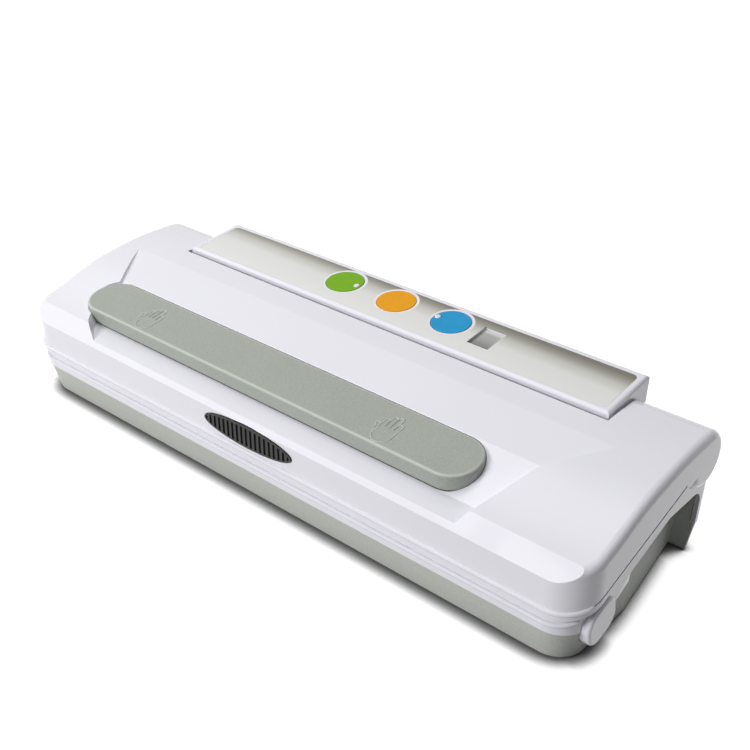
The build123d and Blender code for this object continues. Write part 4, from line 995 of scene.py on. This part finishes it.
pad_top = max((v.co for v in nodes["press_pad"].data.vertices), key=lambda co: co.z)
pad_depth = (pad_high.y - pad_low.y) / math.cos(PAD_TILT)
mark_drop = (1 - MARK_ACROSS) * pad_depth
mark_centre = pad_top - mark_drop * Vector((0, math.cos(PAD_TILT), math.sin(PAD_TILT)))
hand_marks = bead_tree("hand_marks", "pad_sage").make(
    "hand_marks",
    stroke_mesh("hand_marks", hand_strokes()),
    {
        "Bead Radius": BEAD_RADIUS,
        "Bead Sides": SECTION_STEPS,
        "Count": len(MARK_SHARES),
        "Start": (MARK_SHARES[0] * pad_length, 0, 0),
        "Step": ((MARK_SHARES[1] - MARK_SHARES[0]) * pad_length, 0, 0),
        "Tilt": (PAD_TILT, 0, 0),
        "Centre": (pad_low.x, mark_centre.y, mark_centre.z),
    },
)
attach(hand_marks, "lid")
print("hand marks:", len(hand_marks.data.polygons), "faces")

# %% [markdown]
# ## Rims at the seam
#
# Where the lid meets the deck, each moulding has a fine rim that catches the light: a bead in the groove
# above the seam, and a lip below it. They could be swept as curves, but they follow a path on a slope as
# the hand marks do and are thinner than the wall, so the same tree makes them. Both end round the front
# corners, where the groove runs on alone and the release buttons need room, and their ends turn into the
# wall. A rise is measured square to the slope, and a start in degrees from the side.

# %% Rims at the seam
RIM_SIDES = 16
RIM_RUNOUT = 0.5
RIM_DIVE = 1.9
SEAM_Y = -64.3
SEAM_Z = 26.0
LID_RIM_RADIUS = 1.35
LID_RIM_RISE = 4.5
LID_RIM_SINK = 0.35
LID_RIM_FRONT = -64.75
LID_CORNER = 18.0
LID_START = -24.0
DECK_RIM_RADIUS = 1.4
DECK_RIM_RISE = -3.0
DECK_CORNER = 15.0
DECK_START = -32.0


def rim_stroke(half_length, corner, start, radius):
    """Points from one corner along the front to the other, with both ends turned into the wall."""
    bend = [Vector(point) for point in arc((half_length - corner, corner), corner, start, -90)]
    outward = Vector((math.cos(math.radians(start)), math.sin(math.radians(start))))
    back = Vector((-outward.y, outward.x))
    bend_end = bend[0] + RIM_RUNOUT * back
    right_half = [bend_end + RIM_DIVE * radius * (back - outward), bend_end, *bend]
    left_half = [(-x, y) for x, y in reversed(right_half)]
    return [(x, y / math.cos(DECK_TILT)) for x, y in [*right_half, *left_half]]


def seam_rim(name, body, stroke, front, rise, radius):
    """A bead along a stroke on the slope of the seam, ridden by the given body."""
    height = SEAM_Z + (front - SEAM_Y) * math.tan(DECK_TILT) + rise / math.cos(DECK_TILT)
    sizes = {
        "Bead Radius": radius * MM,
        "Bead Sides": RIM_SIDES,
        "Count": 1,
        "Start": (0, 0, 0),
        "Step": (0, 0, 0),
        "Tilt": (DECK_TILT, 0, 0),
        "Centre": (0, front * MM, height * MM),
    }
    rim = bead_tree(name, "white_gloss").make(name, stroke_mesh(name, [stroke]), sizes)
    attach(rim, body)
    print(rim.name, [round(d / MM, 1) for d in rim.dimensions], "mm,", len(rim.data.polygons), "faces")


lid_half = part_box("lid_shell")[1].x / MM - LID_RIM_SINK
lid_stroke = rim_stroke(lid_half, LID_CORNER - LID_RIM_SINK, LID_START, LID_RIM_RADIUS)
seam_rim("lid_rim", "lid", lid_stroke, LID_RIM_FRONT + LID_RIM_SINK, LID_RIM_RISE, LID_RIM_RADIUS)
deck_low, deck_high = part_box("base_deck")
deck_stroke = rim_stroke(deck_high.x / MM, DECK_CORNER, DECK_START, DECK_RIM_RADIUS)
seam_rim("deck_rim", "base", deck_stroke, deck_low.y / MM, DECK_RIM_RISE, DECK_RIM_RADIUS)

# %% [markdown]
# ## Size and finish
#
# The box that was kept at the start and the box of the dressed machine are kept side by side, and the
# print shows how far the high corner moved.

# %% Size and finish
boxes = {"cad": [list(c) for c in cad_box], "visual": [list(c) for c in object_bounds()]}
growth = [round((v - c) / MM, 2) for v, c in zip(boxes["visual"][1], boxes["cad"][1])]
print("high corner of the box moved by", growth, "mm")
